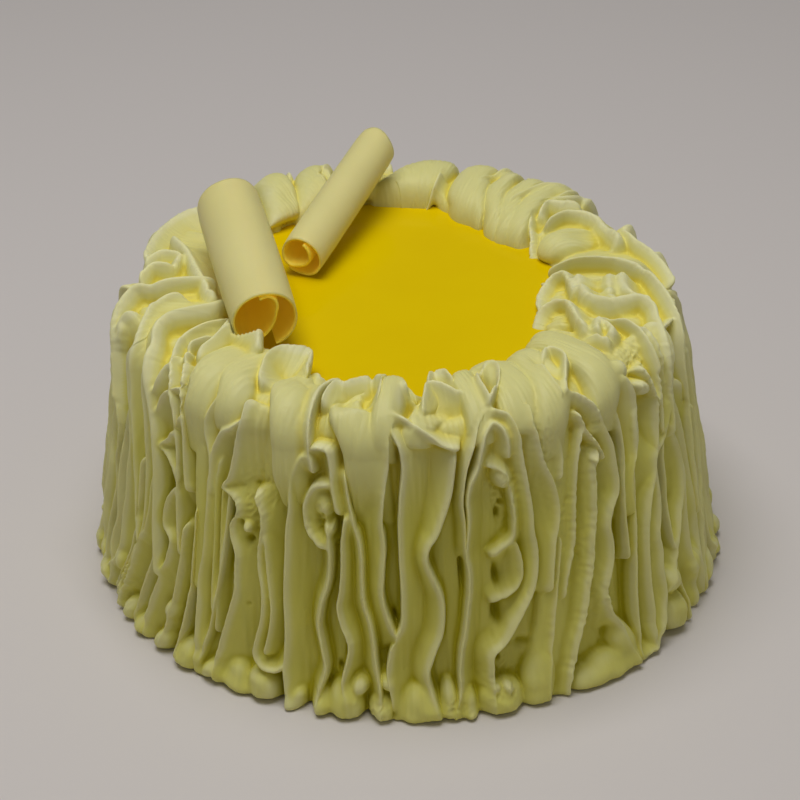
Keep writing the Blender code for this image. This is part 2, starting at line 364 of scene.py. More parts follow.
class Outline:
    """The outline of the ruffles' outer edges from the foot (0) up the wall, over the rim and in to the
    tips on the curd (1), as radius and height, and the directions square to it."""

    def __init__(self, sizes):
        self.sizes = sizes
        wall = math.hypot(sizes.shoulder_height, sizes.foot_radius - sizes.shoulder_radius)
        rise = math.hypot(sizes.rim_height - sizes.shoulder_height, sizes.shoulder_radius - sizes.rim_radius)
        fall = math.hypot(sizes.rim_height - CURD_HIGH.z, sizes.rim_radius - sizes.inner_radius)
        self.length = wall + rise + fall
        self.shoulder = wall / self.length
        self.crown = (wall + rise) / self.length

    def at(self, share, tip=None):
        """Radius and height at a share of the way: a straight line up the wall, a quarter ellipse up to
        the crown and a flatter one down to the tip, which may be given as a radius."""
        sizes = self.sizes
        tip = sizes.inner_radius if tip is None else tip
        up = np.clip(share / self.shoulder, 0, 1)
        rise = np.clip((share - self.shoulder) / (self.crown - self.shoulder), 0, 1) * math.pi / 2
        fall = np.clip((share - self.crown) / (1 - self.crown), 0, 1) * math.pi / 2
        radius = sizes.foot_radius + (sizes.shoulder_radius - sizes.foot_radius) * up
        radius = radius - (sizes.shoulder_radius - sizes.rim_radius) * (1 - np.cos(rise))
        radius = radius - (sizes.rim_radius - tip) * np.sin(fall)
        height = sizes.shoulder_height * up + (sizes.rim_height - sizes.shoulder_height) * np.sin(rise)
        dip = sizes.rim_height - CURD_HIGH.z + sizes.tip_sink
        height = height - dip * (1 - np.cos(fall)) ** 1.5
        return radius, height

    def share_of(self, azimuth, radius):
        """The share at which a fold over the rim lies so far from the middle, both from its plan."""
        sizes = self.sizes
        tip = tip_radius(azimuth, sizes)
        rise = np.clip((sizes.shoulder_radius - radius) / (sizes.shoulder_radius - sizes.rim_radius), 0, 1)
        share = self.shoulder + (self.crown - self.shoulder) * np.arccos(1 - rise) / (math.pi / 2)
        fall = np.clip((sizes.rim_radius - radius) / (sizes.rim_radius - tip), 0, 1)
        share = share + (1 - self.crown) * np.arcsin(fall) / (math.pi / 2)
        wall_reach = sizes.foot_radius - sizes.shoulder_radius
        past_foot = np.maximum(radius - sizes.shoulder_radius, 0) / wall_reach
        return share - self.shoulder * past_foot + np.maximum(tip - radius, 0) / self.length

    def depth(self, share):
        """How deep the ruffles' roots lie under the outline."""
        sizes = self.sizes
        risen = smooth(self.shoulder, self.crown, share)
        rim = sizes.wall_depth + (sizes.rim_depth - sizes.wall_depth) * risen
        return rim + (sizes.tip_depth - rim) * smooth(self.crown, 1.0, share)


def placed(radius, azimuth, height, sizes):
    """Points in space from radius, azimuth and height, with the top set off to the side as the cake leans."""
    lifted = np.clip(height / sizes.shoulder_height, 0, 1)
    x = radius * np.sin(azimuth) + TOP_X * lifted
    y = -radius * np.cos(azimuth) + TOP_Y * lifted
    return np.stack([x, y, height], axis=-1)


# Ruffles


WALL_EDGES = (
    # Lean in degrees, width, thickness and lift in millimetres, roughness; then the free edge from the
    # foot up, as azimuth in degrees and share of the outline
    (45, 7.5, 3.4, 0, 0.2, (-21, 0.02), (-21.2, 0.1), (-20.8, 0.2), (-21, 0.3), (-20.7, 0.4),
     (-20.5, 0.46), (-19.9, 0.52), (-19.6, 0.57), (-18.8, 0.61), (-17.4, 0.645), (-15.3, 0.67),
     (-13, 0.668), (-12.1, 0.63), (-11.9, 0.58), (-11.2, 0.53)),
    (60, 7, 3.6, 0.3, 0.5, (-14.6, 0.44), (-16.4, 0.47), (-17, 0.51), (-16.4, 0.55), (-14.9, 0.58),
     (-13.2, 0.585)),
    (-25, 7, 2.7, 0, 0.3, (-16.4, 0.02), (-15.7, 0.07), (-14.5, 0.125), (-15.1, 0.18), (-15.7, 0.235),
     (-15.1, 0.29), (-13.9, 0.34), (-13.4, 0.4), (-13.6, 0.46)),
    (35, 7, 2.3, 0, 0.4, (-10.2, 0.03), (-10.9, 0.1), (-10, 0.15), (-9.6, 0.19), (-10.9, 0.245),
     (-11.5, 0.28), (-10.9, 0.33), (-10.5, 0.4), (-10.4, 0.45), (-9.8, 0.5)),
    (-35, 7, 2.3, 0, 0.2, (-5.2, 0.09), (-5.8, 0.15), (-6, 0.2), (-6.5, 0.25), (-7.5, 0.3), (-7.7, 0.35),
     (-7.7, 0.4), (-8, 0.45), (-8.9, 0.5), (-9.7, 0.55), (-10.2, 0.6)),
    (-50, 9, 2.6, 0, 0.4, (-2, 0.215), (-3.2, 0.25), (-4, 0.285), (-4.5, 0.33), (-4.2, 0.38), (-3.8, 0.45),
     (-4.1, 0.5), (-3.9, 0.54), (-3.2, 0.6), (-2.6, 0.65), (-2.1, 0.7), (-1, 0.74)),
    (50, 8.5, 3, 0, 0.3, (-2.2, 0.06), (-2.8, 0.13), (-1.8, 0.2), (-0.1, 0.25), (0.2, 0.3), (0.2, 0.42),
     (0.3, 0.5), (0.8, 0.57), (1.4, 0.64), (0.9, 0.685), (-0.6, 0.72)),
    (-35, 8, 3.7, 0.2, 0.2, (4.6, 0.02), (3.4, 0.08), (2.9, 0.125), (4, 0.175), (5.5, 0.225), (6.1, 0.275),
     (6, 0.315), (4.7, 0.365), (3.6, 0.41), (4, 0.44), (5.5, 0.47), (6.9, 0.51), (8.4, 0.565), (9.7, 0.65)),
    (-40, 6, 2.4, 0.6, 0.2, (-0.8, 0.757), (1.5, 0.742), (3.8, 0.726), (6, 0.706), (7.8, 0.688),
     (9.8, 0.678)),
    (-20, 6, 1.9, -0.5, 0.2, (11.1, 0.42), (11.2, 0.5), (11, 0.54), (11.4, 0.58), (12.4, 0.63),
     (13.9, 0.68), (15, 0.715), (16.6, 0.74), (18.2, 0.757)),
    (40, 7.5, 2.4, 0, 0.3, (8.3, 0.01), (9.3, 0.08), (9.4, 0.125), (9.8, 0.175), (10.5, 0.215),
     (11.3, 0.275), (11.9, 0.325), (12.1, 0.375), (11.8, 0.42), (12.1, 0.45), (12.7, 0.5), (12.7, 0.55),
     (13.4, 0.585), (15, 0.625), (16.1, 0.67), (17.2, 0.705), (18.8, 0.722), (20, 0.71), (20.9, 0.68),
     (21, 0.65)),
    (-35, 8, 2.9, 0, 0.3, (14.2, 0.03), (14.3, 0.12), (14.6, 0.16), (16.6, 0.18), (19, 0.225),
     (20.8, 0.26), (22.6, 0.3), (23.7, 0.35), (24.1, 0.4), (23.7, 0.45), (23.7, 0.5), (23.4, 0.55),
     (23, 0.6), (22.6, 0.65), (22.2, 0.7), (21, 0.735), (19, 0.747)),
    (60, 6.5, 3.2, -1.2, 0.6, (17.6, 0.41), (21, 0.44), (21.5, 0.48), (21.4, 0.53), (20.9, 0.57),
     (19.6, 0.61), (17.9, 0.62)),
    (-50, 6, 2.6, -1.8, 0.5, (17, 0.29), (19.5, 0.305), (21, 0.33), (21.3, 0.38), (20.6, 0.42)),
    (-50, 9, 2.3, 0, 0.3, (26.4, 0.3), (27.2, 0.37), (27.8, 0.41), (28.9, 0.455), (29.2, 0.49),
     (28.5, 0.55), (27.1, 0.6), (26.2, 0.65), (25.7, 0.7), (26, 0.74)),
    (80, 12, 4, -2.4, 0.3, (20.5, 0.02), (21.5, 0.1), (24, 0.2), (25.5, 0.3), (27, 0.4), (27.6, 0.5),
     (27.6, 0.6), (27.8, 0.7), (28.5, 0.76)),
    (5, 5, 3.2, -0.4, 0.2, (31.3, 0.565), (31.8, 0.6), (32, 0.67), (32, 0.735)),
    (30, 6, 2, -0.5, 0.3, (30, 0.27), (31, 0.32), (32.8, 0.39), (33.4, 0.45), (34.3, 0.52), (35, 0.57),
     (36, 0.61), (36.9, 0.645)),
    (-45, 8.5, 2.2, 0, 1.3, (28.5, 0.05), (29.8, 0.1), (30.6, 0.138), (32.4, 0.19), (33.7, 0.2545),
     (34.8, 0.295), (35.7, 0.346), (36.5, 0.4), (37.2, 0.442), (37.6, 0.49), (37.8, 0.52), (38, 0.554),
     (38.8, 0.575)),
    (-40, 8.5, 2.8, 0.2, 0.3, (43.4, 0.01), (41.9, 0.067), (40.9, 0.1075), (40.2, 0.138), (38.7, 0.168),
     (37.9, 0.21), (38, 0.24), (38.9, 0.275), (39.8, 0.305), (40.2, 0.35), (40, 0.4), (41.3, 0.437),
     (42.8, 0.4625), (43.3, 0.493), (43.1, 0.533), (42.8, 0.58), (42, 0.615), (40.9, 0.655), (39.4, 0.696),
     (37.5, 0.725), (35.5, 0.745)),
    (-20, 5, 1.9, -0.3, 0.3, (40.9, 0.569), (39.1, 0.615), (37.2, 0.65), (36.4, 0.68)),
    (50, 8, 2.3, 0.2, 0.4, (45, 0.3), (45.2, 0.38), (45.4, 0.442), (45.7, 0.478), (46.3, 0.518),
     (46.7, 0.564), (46.5, 0.604), (46.1, 0.645), (45.2, 0.686), (44.8, 0.73)),
    (-65, 8, 2.4, 0, 0.3, (46.9, 0.4), (46.9, 0.452), (47.6, 0.493), (49.1, 0.523), (50.2, 0.569),
     (50.7, 0.625), (50.6, 0.67), (49.8, 0.71)),
    (-58, 9, 3.3, 0.2, 0.5, (46, 0.01), (48.6, 0.021), (50.6, 0.057), (52, 0.097), (52.8, 0.148),
     (52.6, 0.209), (53, 0.255), (52.8, 0.29), (53.5, 0.326), (54.3, 0.376), (54.4, 0.417), (54.6, 0.452),
     (55.4, 0.488), (58.3, 0.508), (60.9, 0.533), (63, 0.58)),
    (40, 7.5, 2.5, 0, 0.3, (-21.7, 0.11), (-23.5, 0.09), (-25.6, 0.092), (-27.2, 0.118), (-26.8, 0.158),
     (-25.8, 0.21), (-25.5, 0.29), (-26.1, 0.34), (-26.2, 0.39), (-25.6, 0.45), (-25.7, 0.48),
     (-26.7, 0.515)),
    (30, 7, 2.2, -0.5, 0.3, (-25.2, 0.14), (-24.4, 0.19), (-23.9, 0.24), (-24.3, 0.3), (-24.8, 0.36),
     (-25.2, 0.42)),
    (55, 9, 2.3, 0, 0.6, (-35, 0.06), (-33.8, 0.13), (-32.6, 0.189), (-31.1, 0.265), (-30.9, 0.315),
     (-30.9, 0.371), (-31.6, 0.397), (-31.9, 0.437), (-30.9, 0.457), (-30.6, 0.488), (-31.7, 0.506),
     (-33.8, 0.518), (-32.4, 0.55), (-31.5, 0.6), (-30.8, 0.65), (-30.1, 0.69), (-30.2, 0.73)),
    (65, 7, 2.3, 0, 0.3, (-36.9, 0.5), (-36.6, 0.57), (-36, 0.615), (-34.6, 0.65), (-32.2, 0.672),
     (-30.3, 0.695)),
    (50, 9, 2.3, 0, 0.3, (-39.9, 0.05), (-39.6, 0.128), (-39.3, 0.19), (-38.9, 0.28), (-38.1, 0.33),
     (-37.8, 0.39), (-37.4, 0.45), (-37.2, 0.518), (-36.9, 0.554), (-37, 0.585), (-38, 0.635),
     (-37.9, 0.675), (-36.8, 0.72), (-36, 0.75)),
    (30, 5, 1.8, -0.9, 0.2, (-36.9, 0.2), (-36.5, 0.32), (-36.2, 0.42), (-36, 0.52), (-35.4, 0.57)),
    (30, 5, 1.8, -1.2, 0.2, (-36, 0.15), (-35.4, 0.28), (-35, 0.4), (-34.7, 0.5)),
    (78, 6.5, 3, -1.2, 0.3, (-42, 0.24), (-41.8, 0.4), (-42, 0.5), (-42.2, 0.6), (-43.3, 0.66),
     (-44.3, 0.72)),
    (50, 9, 2.4, 0, 0.5, (-53.9, 0.02), (-53.6, 0.067), (-52, 0.128), (-50, 0.189), (-48.5, 0.24),
     (-47.4, 0.28), (-46.9, 0.32), (-48.6, 0.338), (-48.8, 0.381), (-47.4, 0.432), (-45.9, 0.4625),
     (-46.3, 0.493), (-48.1, 0.523), (-50.5, 0.541), (-48.5, 0.57), (-46.7, 0.604), (-45.2, 0.645),
     (-44.6, 0.68), (-44.9, 0.716)),
    (65, 7.5, 2.4, 0, 0.3, (-52.4, 0.53), (-52.4, 0.6), (-51.5, 0.65), (-49.5, 0.685), (-47, 0.703),
     (-44.9, 0.718)),
    (40, 8.5, 2.7, 0, 0.3, (-64, 0.08), (-60, 0.18), (-57.8, 0.24), (-55.2, 0.29), (-53.9, 0.35),
     (-53.3, 0.417), (-51.9, 0.49), (-52.6, 0.55), (-53.1, 0.6), (-53.7, 0.645), (-53, 0.7), (-52.4, 0.75)),
    (35, 8, 2.6, 0, 0.3, (-64.6, 0.02), (-61.7, 0.11), (-59.6, 0.17), (-57.5, 0.24), (-55.8, 0.3),
     (-55.2, 0.4), (-55.5, 0.48), (-56.5, 0.56), (-58, 0.64), (-58.5, 0.7)),
    (45, 9, 2.8, 0, 0.3, (-73, 0.05), (-68.3, 0.11), (-65, 0.18), (-64.2, 0.26), (-63.3, 0.327),
     (-62.9, 0.4), (-62.5, 0.487), (-63.4, 0.55), (-65, 0.62), (-66, 0.7)),
    (-35, 6, 2.2, -0.3, 0.2, (-39.8, 0.01), (-37.2, 0.16), (-34.6, 0.36), (-33.4, 0.5)),
    (30, 5, 2.2, -0.4, 0.4, (-58.4, 0.02), (-57, 0.08), (-55.2, 0.15), (-53, 0.22), (-51, 0.3)),
    (30, 5, 2.4, -0.2, 0.4, (-49.5, 0.01), (-48, 0.08), (-46, 0.17), (-44.8, 0.25), (-43.8, 0.36)),
    (-30, 6, 2.6, 0.2, 0.3, (-46, 0), (-44.4, 0.08), (-42.8, 0.17), (-41.6, 0.28), (-41, 0.42)),
    (30, 5, 2.2, -0.3, 0.3, (-67.5, 0.02), (-65.8, 0.08), (-62.6, 0.15), (-60.2, 0.22), (-58.6, 0.32),
     (-58, 0.45)),
    (30, 6, 2.4, -0.1, 0.3, (45.2, 0.02), (45.6, 0.16), (47.2, 0.32), (48, 0.4), (48.8, 0.49), (50, 0.56),
     (50.8, 0.64)),
    (-30, 6, 2.6, 0.1, 0.3, (48.4, 0.02), (49, 0.12), (49.2, 0.22), (49.8, 0.3), (51.6, 0.38), (54, 0.44),
     (56.5, 0.51), (58.5, 0.61)),
    (-35, 6, 2.6, 0.2, 0.3, (54.5, 0.14), (57.5, 0.19), (61, 0.27), (64, 0.34), (64.8, 0.43), (62, 0.52)),
    (30, 7, 2.8, 0.3, 0.3, (70, 0.04), (72, 0.16), (75, 0.25), (78, 0.34), (80, 0.44), (81, 0.6)),
    (-30, 5, 2, -0.5, 0.5, (24.4, 0.02), (25.2, 0.1), (26.6, 0.2), (28, 0.3), (29.4, 0.4)),
)

RIM_EDGES = (
    # Lean in degrees and thickness in millimetres; then the free edge from the wall inwards, as azimuth in
    # degrees, share of the outline, lift and width in millimetres
    (80, 3.4, (-22.8, 0.52, -2.2, 3), (-24, 0.58, 0, 6), (-24.3, 0.66, 0.5, 10), (-26, 0.74, 0.5, 12),
     (-28, 0.79, -0.6, 12), (-29.5, 0.84, -2.4, 12), (-29, 0.89, -3, 12), (-28, 0.96, -3, 10)),
    (80, 3.4, (-9.3, 0.5, -4.5, 5), (-9.7, 0.56, -2, 8), (-10, 0.61, 0, 11), (-10.3, 0.66, 0.5, 14),
     (-11.6, 0.7, 0.6, 15.5), (-13.6, 0.745, 0.2, 17), (-14, 0.78, -1.6, 17), (-12.8, 0.82, -2.6, 14),
     (-11, 0.86, -2, 10), (-10, 0.9, -3, 8)),
    (78, 3.6, (-5.5, 0.66, -1.5, 7), (-5.2, 0.74, 0.6, 8.5), (-4.8, 0.8, 1, 8.5), (-4.3, 0.85, 1.6, 8),
     (-3.6, 0.9, 1.6, 6.5), (-2.5, 0.94, 0, 4)),
    (80, 3.4, (0.4, 0.7, -1.8, 9), (0.8, 0.735, -0.9, 11), (1.6, 0.765, -1.6, 12), (3, 0.79, -2.8, 12),
     (5, 0.83, -3.6, 9), (7.4, 0.88, -2.4, 7), (8.5, 0.93, -2, 5)),
    (80, 3.2, (13.6, 0.69, -1.5, 7), (14, 0.76, -0.6, 8), (13.5, 0.81, 0.2, 9), (13, 0.86, 0.6, 9),
     (14, 0.91, 0.4, 8), (16, 1, 0, 7)),
    (80, 3.6, (20.6, 0.7, -1, 9), (20.8, 0.77, -0.4, 12), (21.5, 0.82, 0, 14), (21, 0.87, 0.4, 16),
     (20, 0.92, 0.6, 16), (19, 1.03, 0.6, 14)),
    (78, 3.6, (27, 0.62, -1.5, 6), (27.2, 0.68, 0.2, 9), (28.5, 0.74, 0.6, 11), (30, 0.79, 0.4, 12),
     (31, 0.84, 0, 13), (32, 0.89, 0.4, 13), (33, 1.03, 0, 12)),
    (78, 3.6, (39.4, 0.64, -1, 8), (40.4, 0.7, 0.4, 10), (41.8, 0.76, 0.8, 12), (42.5, 0.82, 0.6, 14),
     (42.5, 0.9, 0.8, 15), (43, 1.03, 0.2, 13)),
    (78, 3.4, (-44.6, 0.58, -1.4, 8), (-45, 0.66, 0.2, 10), (-46.5, 0.74, 0.6, 12), (-48, 0.8, 0, 13),
     (-50, 0.86, -1.6, 13), (-52, 0.95, -2, 12)),
    (75, 3.2, (-37.6, 0.66, -1.4, 7), (-38.5, 0.74, 0.2, 9), (-41, 0.79, -0.4, 10), (-43, 0.84, -1, 11),
     (-43, 0.9, -1, 10), (-42, 1, -1, 9)),
)

RIM_FOLDS = (
    # Lean in degrees, width, thickness and lift in millimetres; then the free edge in plan, as azimuth in
    # degrees and distance from the middle in millimetres, and in places the lift there
    (42, 5, 2.4, 0.6, (60, 60.5), (63.5, 57), (68.5, 53.5), (72, 51), (73, 48), (71.5, 44.5), (66.5, 43),
     (59.5, 43.5), (52, 46.5), (46, 51)),
    (40, 4.5, 2.4, 0.4, (82, 51.5), (89.5, 50), (94.5, 48.5), (94, 45), (89, 42), (80.5, 41), (73, 42.5)),
    (-55, 9, 2.6, 1, (86.5, 52.5), (79, 54.5), (73.5, 57.5), (72, 62), (74, 66.5), (76, 71), (75, 75),
     (71, 78.5), (66.5, 82.5), (62.5, 87.5)),
    (45, 5, 2.2, 0.6, (59.5, 87), (62.5, 80), (64.5, 75), (65.5, 71), (66, 66.5), (64.5, 64), (61, 64.5),
     (58, 66.5)),
    (30, 4, 2, 0.2, (58, 70), (61, 69.5), (63, 67)),
    (10, 5, 2.8, 0.3, (88, 61.5), (82, 61.5), (76, 63)),
    (-30, 5, 2.6, 0.4, (88.5, 66), (83, 66.5), (79.5, 69), (78, 73.5)),
    (60, 12, 2.6, 1.2, (70, 92), (73, 87.5), (77.5, 83), (83.5, 78), (89.5, 73.5), (94, 69), (97, 64),
     (99, 57.5), (100, 51.5), (99, 47)),
    (-35, 5, 2.2, -0.4, (99.5, 42.5), (109.5, 42), (118.5, 44.5), (127.5, 50.5), (133, 55.5),
     (136.5, 61.5), (136, 67.5), (133.5, 72.5), (133, 79.5)),
    (30, 7, 2.4, 0.9, (109, 70), (116, 70), (121, 69.5), (125, 67), (127, 63), (127, 59)),
    (-30, 5, 2.2, 0.2, (130, 70.5), (132, 68), (134.5, 65), (133, 61)),
    (50, 8, 2.4, 0.4, (93.5, 82), (101, 78), (106.5, 74.5), (111, 73.5)),
    (30, 6, 2.2, -0.5, (73, 81.5), (78, 82.5), (84, 82)),
    (60, 15, 2.6, 1.4, (-70, 52.5), (-67, 58), (-66.5, 64.5), (-66, 69.5), (-64, 74.5), (-60, 79),
     (-55.5, 84.5), (-49.5, 92.5)),
    (-30, 7, 2.4, 0.4, (-62.5, 56), (-60.5, 63), (-59.5, 69.5), (-56, 75), (-51, 82), (-45, 91)),
    (55, 7, 2.6, 1.4, (-84, 56), (-83.5, 64), (-82.5, 70.5), (-83, 77.5), (-81, 81.5), (-76, 85), (-72, 87)),
    (-40, 12, 2.4, 0.4, (-78.5, 67.5), (-76, 73), (-72, 76.5), (-67.5, 81), (-63, 86.5), (-58.5, 92)),
    (40, 5, 2.2, 1, (-96, 74.5), (-99, 71), (-98.5, 66.5), (-95.5, 66), (-93, 68.5), (-92.5, 72.5),
     (-89, 75.5)),
    (50, 8, 2.6, 1, (-76.5, 55.5), (-87.5, 58.5), (-96, 62), (-101.5, 65.5), (-105.5, 70)),
    (45, 8, 2.6, 0.6, (-99.5, 77), (-106, 78), (-113.5, 79), (-120, 78), (-123.5, 74)),
    (40, 12, 2.6, 1.6, (-51, 64.5), (-54, 60), (-57.5, 55.5), (-58.5, 50.5), (-56, 47)),
    (-40, 6, 2.2, 0.6, (-54, 68), (-54, 71.5), (-52, 75), (-48, 80.5), (-43.5, 88)),
    (32, 10, 4.6, 0, (-49.5, 72, 0.2), (-50.4, 66, 1.4), (-51, 61.5, 3.4), (-49.8, 58.5, 4.6),
     (-46.6, 57.5, 5.2), (-43.2, 57.5, 4.8), (-41.4, 59, 2.6)),
    (45, 10, 2.4, 0, (-32, 70, 0), (-34.2, 65, 0.2), (-35.8, 60.5, 1.2), (-35.2, 56.4, 2.8),
     (-31.4, 53.6, 3.9), (-28, 53, 4), (-25.6, 55.5, 2.2), (-24.8, 58, 0.6)),
    (-45, 8, 2.4, 0.8, (-16.5, 85.5), (-18, 77.5), (-18, 69.5), (-16.5, 63.5), (-14.5, 60), (-17, 57.5),
     (-22.5, 57)),
    (40, 8, 2.2, 0, (-15.5, 73, 0), (-15, 69, 0.6), (-13, 66.5, 1), (-10.7, 65, 1.6), (-8.6, 63, 2.2),
     (-6.3, 61.5, 2.6), (-4.4, 63, 2), (-3.2, 67.5, 0.6)),
    (-35, 5, 3, 1.8, (-4.5, 71.5), (-4.5, 64.5), (-3.5, 59), (-1.5, 57), (0.5, 60.5), (1.5, 67)),
    (40, 8, 2.4, 0, (5.8, 74.5, -1), (6.5, 70, 0.4), (8, 65.4, 1.2), (9.4, 66, 1.2), (10.9, 67.3, 1.1),
     (12.5, 69.3, 0.9), (14.3, 71, 0.5), (17, 72.5, -0.2)),
    (30, 4, 2.4, 0, (7.6, 65, 1), (8.4, 61.8, 2.6), (10, 60, 3.4), (11.8, 60.5, 3), (13, 63.5, 1.4)),
    (40, 3.6, 2.6, 2, (18.9, 75.5), (18.9, 70), (20.2, 64.4), (22.9, 60.6), (25.2, 60.1), (25.8, 62.9),
     (24.1, 67.9), (21.4, 72.4), (19.2, 76)),
    (40, 4, 2.4, 1.2, (34.5, 79), (34.3, 76), (35.5, 70), (39, 64.5), (42.5, 62.5), (43, 66), (39, 73),
     (35.5, 79)),
    (80, 11, 3, 0, (-148, 87, -5), (-149.5, 83, -1), (-151, 78, 0.6), (-151, 70, 0.6), (-149, 62, 0.6),
     (-147, 56, 0.2)),
    (80, 12, 3, 0, (-162, 86, -5), (-163, 82, -1), (-163, 77, 0.4), (-162, 70, 0.4), (-160, 62, 0.4),
     (-158, 56, 0)),
    (80, 13, 3, 0, (-176.5, 87, -5), (-175.5, 83, -1), (-175, 78, 0.1), (-174, 68, 0.1), (-173, 60, 0)),
    (-30, 7, 2.4, 0.6, (-153.5, 64), (-160, 72.5), (-163.5, 79.5), (-165, 88)),
    (80, 18, 3, 0, (164, 87, -5), (165.5, 83, -1.4), (166, 78, 0.3), (166.5, 72, 0.3), (168, 66, 0.3),
     (170, 59, 0.3), (171, 55, 0)),
    (80, 12, 3, 0, (154, 86, -5), (155, 82, -1), (155.5, 76, 0.6), (155, 70, 0.6), (153.5, 62, 0.6),
     (150.5, 53, 0.6), (149.5, 48, 0)),
    (80, 7.5, 3, 0, (148, 85, -4), (149.5, 80, -0.6), (149.5, 74, 0.3), (148, 63, 0.3), (143, 53, 0.3),
     (139.5, 45, 0)),
    (80, 7.5, 3, 0, (142, 86, -4), (143, 81, -0.6), (143, 74, 0.1), (142, 64, 0.1), (138, 55, 0.1),
     (133.5, 45, 0)),
    (80, 8, 3, 0, (135, 85, -4), (136, 80, -0.6), (136.5, 74, 0.4), (135.5, 64, 0.4), (132, 54, 0.4),
     (128, 45, 0)),
    (45, 8, 2.4, 1, (158, 66), (156, 72), (154, 80), (154, 87)),
    (45, 8, 2.4, 1, (144, 60), (143, 66), (141.5, 73), (139, 80), (136, 86)),
    (35, 6, 2.2, 0.6, (182, 62), (178, 57.5), (173.5, 58), (170, 61), (169, 66)),
    (50, 8, 2.4, 0.3, (137.5, 62), (137, 68), (136, 75), (137, 83.5)),
)

CURLS = (
    # Name; middles of the near and the far end and outer diameter in millimetres; start, sweep and tuck in
    # degrees; the core's share of the radius; the side that it lies against in degrees; seed
    ("large", (-40.7, -34.5, 95.0), (-54.6, 26.6, 101.0), 19.4, 250, 560, 290, 0.34, 95, 3),
    ("small", (-32.6, 13.5, 89.5), (-10.2, 69.5, 100.2), 13.4, 318, 560, 300, 0.66, 55, 4),
)

HOLLOWS = (
    # Hollows in the rim: azimuth in degrees, distance from the middle, width, length and depth in
    # millimetres
    (63, 53, 1.3, 4, 3.5), (87, 48.5, 1.2, 1.8, 1.5), (68, 66, 3.5, 1.6, 3), (69.5, 75.5, 4, 4, 2),
    (58, 68, 0.9, 1.8, 3.5), (82, 57, 1.2, 2.6, 2.2), (78.5, 65.5, 1.3, 3.4, 2), (91.5, 58.5, 2, 6.5, 3.2),
    (115.5, 64, 4, 4.5, 3.2), (131, 63.5, 1.6, 1.5, 3.5), (129.5, 55.5, 1, 4, 1.5),
    (102, 66.5, 3.5, 3.5, 1.5), (-64, 61.5, 2.2, 5.5, 2.5), (-59.5, 75.5, 2, 6, 2), (-80, 73, 4, 2, 3),
    (-52.5, 72.5, 1, 2.6, 3), (-44.5, 83.5, 1.2, 3.2, 2.5), (-79, 54, 1.2, 1.4, 3),
    (-102, 73, 2, 1.5, 2.2), (-94, 67.5, 1.2, 1.5, 2), (-31, 60, 4.5, 5, 2.6), (-17, 72.5, 1.4, 7, 2.2),
    (-10.5, 71.5, 2.4, 3.5, 2), (-6, 64, 0.9, 5, 3), (2.5, 72, 1.2, 6, 3), (10.5, 74, 5, 4, 2.6),
    (10.4, 63.4, 1.6, 1.5, 2.4), (-9, 68, 3.5, 3, 2), (22, 65.5, 1.8, 5, 5), (37.5, 71, 1.6, 6, 2.6),
    (169.5, 57, 1, 3, 3.5), (155.5, 71.5, 2.5, 3, 2), (137.5, 71.5, 2, 3, 1.5), (-145, 61, 4, 4, 1.5),
    (-159.5, 67.5, 1.4, 6, 2.2),
)

TIPS = (
    # Azimuth in degrees and how far from the middle the folds meet the curd, in millimetres
    (0, 58), (2, 62), (4, 65), (6, 61), (8, 58.5), (12, 57), (15, 55), (20, 53.5), (26, 52), (31, 53),
    (35, 52.5), (40, 51), (47, 50), (53, 47), (60, 44.5), (71, 41.5), (78, 40.5), (85, 40), (94, 41),
    (100, 42.5), (105, 44.5), (110, 48), (113, 46), (119, 45.5), (127, 48), (133, 47), (139, 45.5),
    (146, 47), (154, 51), (160, 51.5), (166, 54), (170, 58.5), (180, 59), (190, 59), (200, 57), (215, 54),
    (235, 50), (255, 48), (275, 47), (295, 47), (310, 48), (322, 50), (330, 50), (335, 52), (338, 57),
    (343, 58), (347, 63), (351, 60), (355, 57.5), (360, 58),
)

LUMPS = (
    # Pads: azimuth in degrees, share, half width, half length in millimetres, slant in degrees, lift
    (-43, 0.035, 6, 7, 40, 0.9), (-31.5, 0.025, 7.5, 6, 70, 0.3), (-26.5, 0.04, 6, 5.5, 60, 0.9),
    (-20.2, 0.015, 3, 6, 20, 0.2), (-15.2, 0.02, 3.4, 7, 10, 0.2), (-11.2, 0.035, 6, 8, 0, 1),
    (-8.6, 0.085, 3, 3.4, 30, -0.2), (-4.4, 0.03, 5, 6, 0, 0.2), (-3.4, 0.1, 3.6, 3, 50, 0.1),
    (1.8, 0.03, 7, 8.5, 0, 0.9), (7, 0.03, 3.6, 9, 0, 0.1), (10.4, 0.02, 3, 8, 0, 0),
    (16.2, 0.035, 8, 7, 0, 0.5), (15, 0.075, 2.4, 2, 40, 0.4), (17.2, 0.07, 2, 2.6, -30, 0.3),
    (23.6, 0.06, 6, 12, 15, -0.2), (34, 0.02, 9, 5, 0, 0), (38.5, 0.025, 12, 7, -8, 0.4),
    (42, 0.07, 5, 10, -20, 0.4), (57, 0.06, 6.5, 8, -20, 1.4), (56.5, 0.15, 5, 5, 0, 1.4),
    (66, 0.13, 4.5, 6, 0, 1), (-65.8, 0.13, 3, 5, 20, 0.5), (-61, 0.03, 3.6, 5, 0, 0.6),
    (-56, 0.025, 4.2, 6, 40, 0.6), (-49.8, 0.03, 3.4, 6, 40, 0.6), (-47.5, 0.13, 3, 5, 30, 0),
    (-37, 0.03, 3.4, 7, 45, 0.6), (-14.2, 0.53, 3, 5, 0, -0.6), (-13.2, 0.48, 2, 3.4, 0, -0.4),
    (19.6, 0.59, 3.2, 4.6, -10, -0.8), (-29.5, 0.435, 1.6, 2.4, 0, -0.7), (38.4, 0.57, 1.3, 1.5, 0, 0.6),
    (117, 0.9, 6, 10, 0, 0.2), (51, 0.74, 3, 4, 20, 0), (56, 0.66, 2.6, 4.4, -50, -0.6),
)

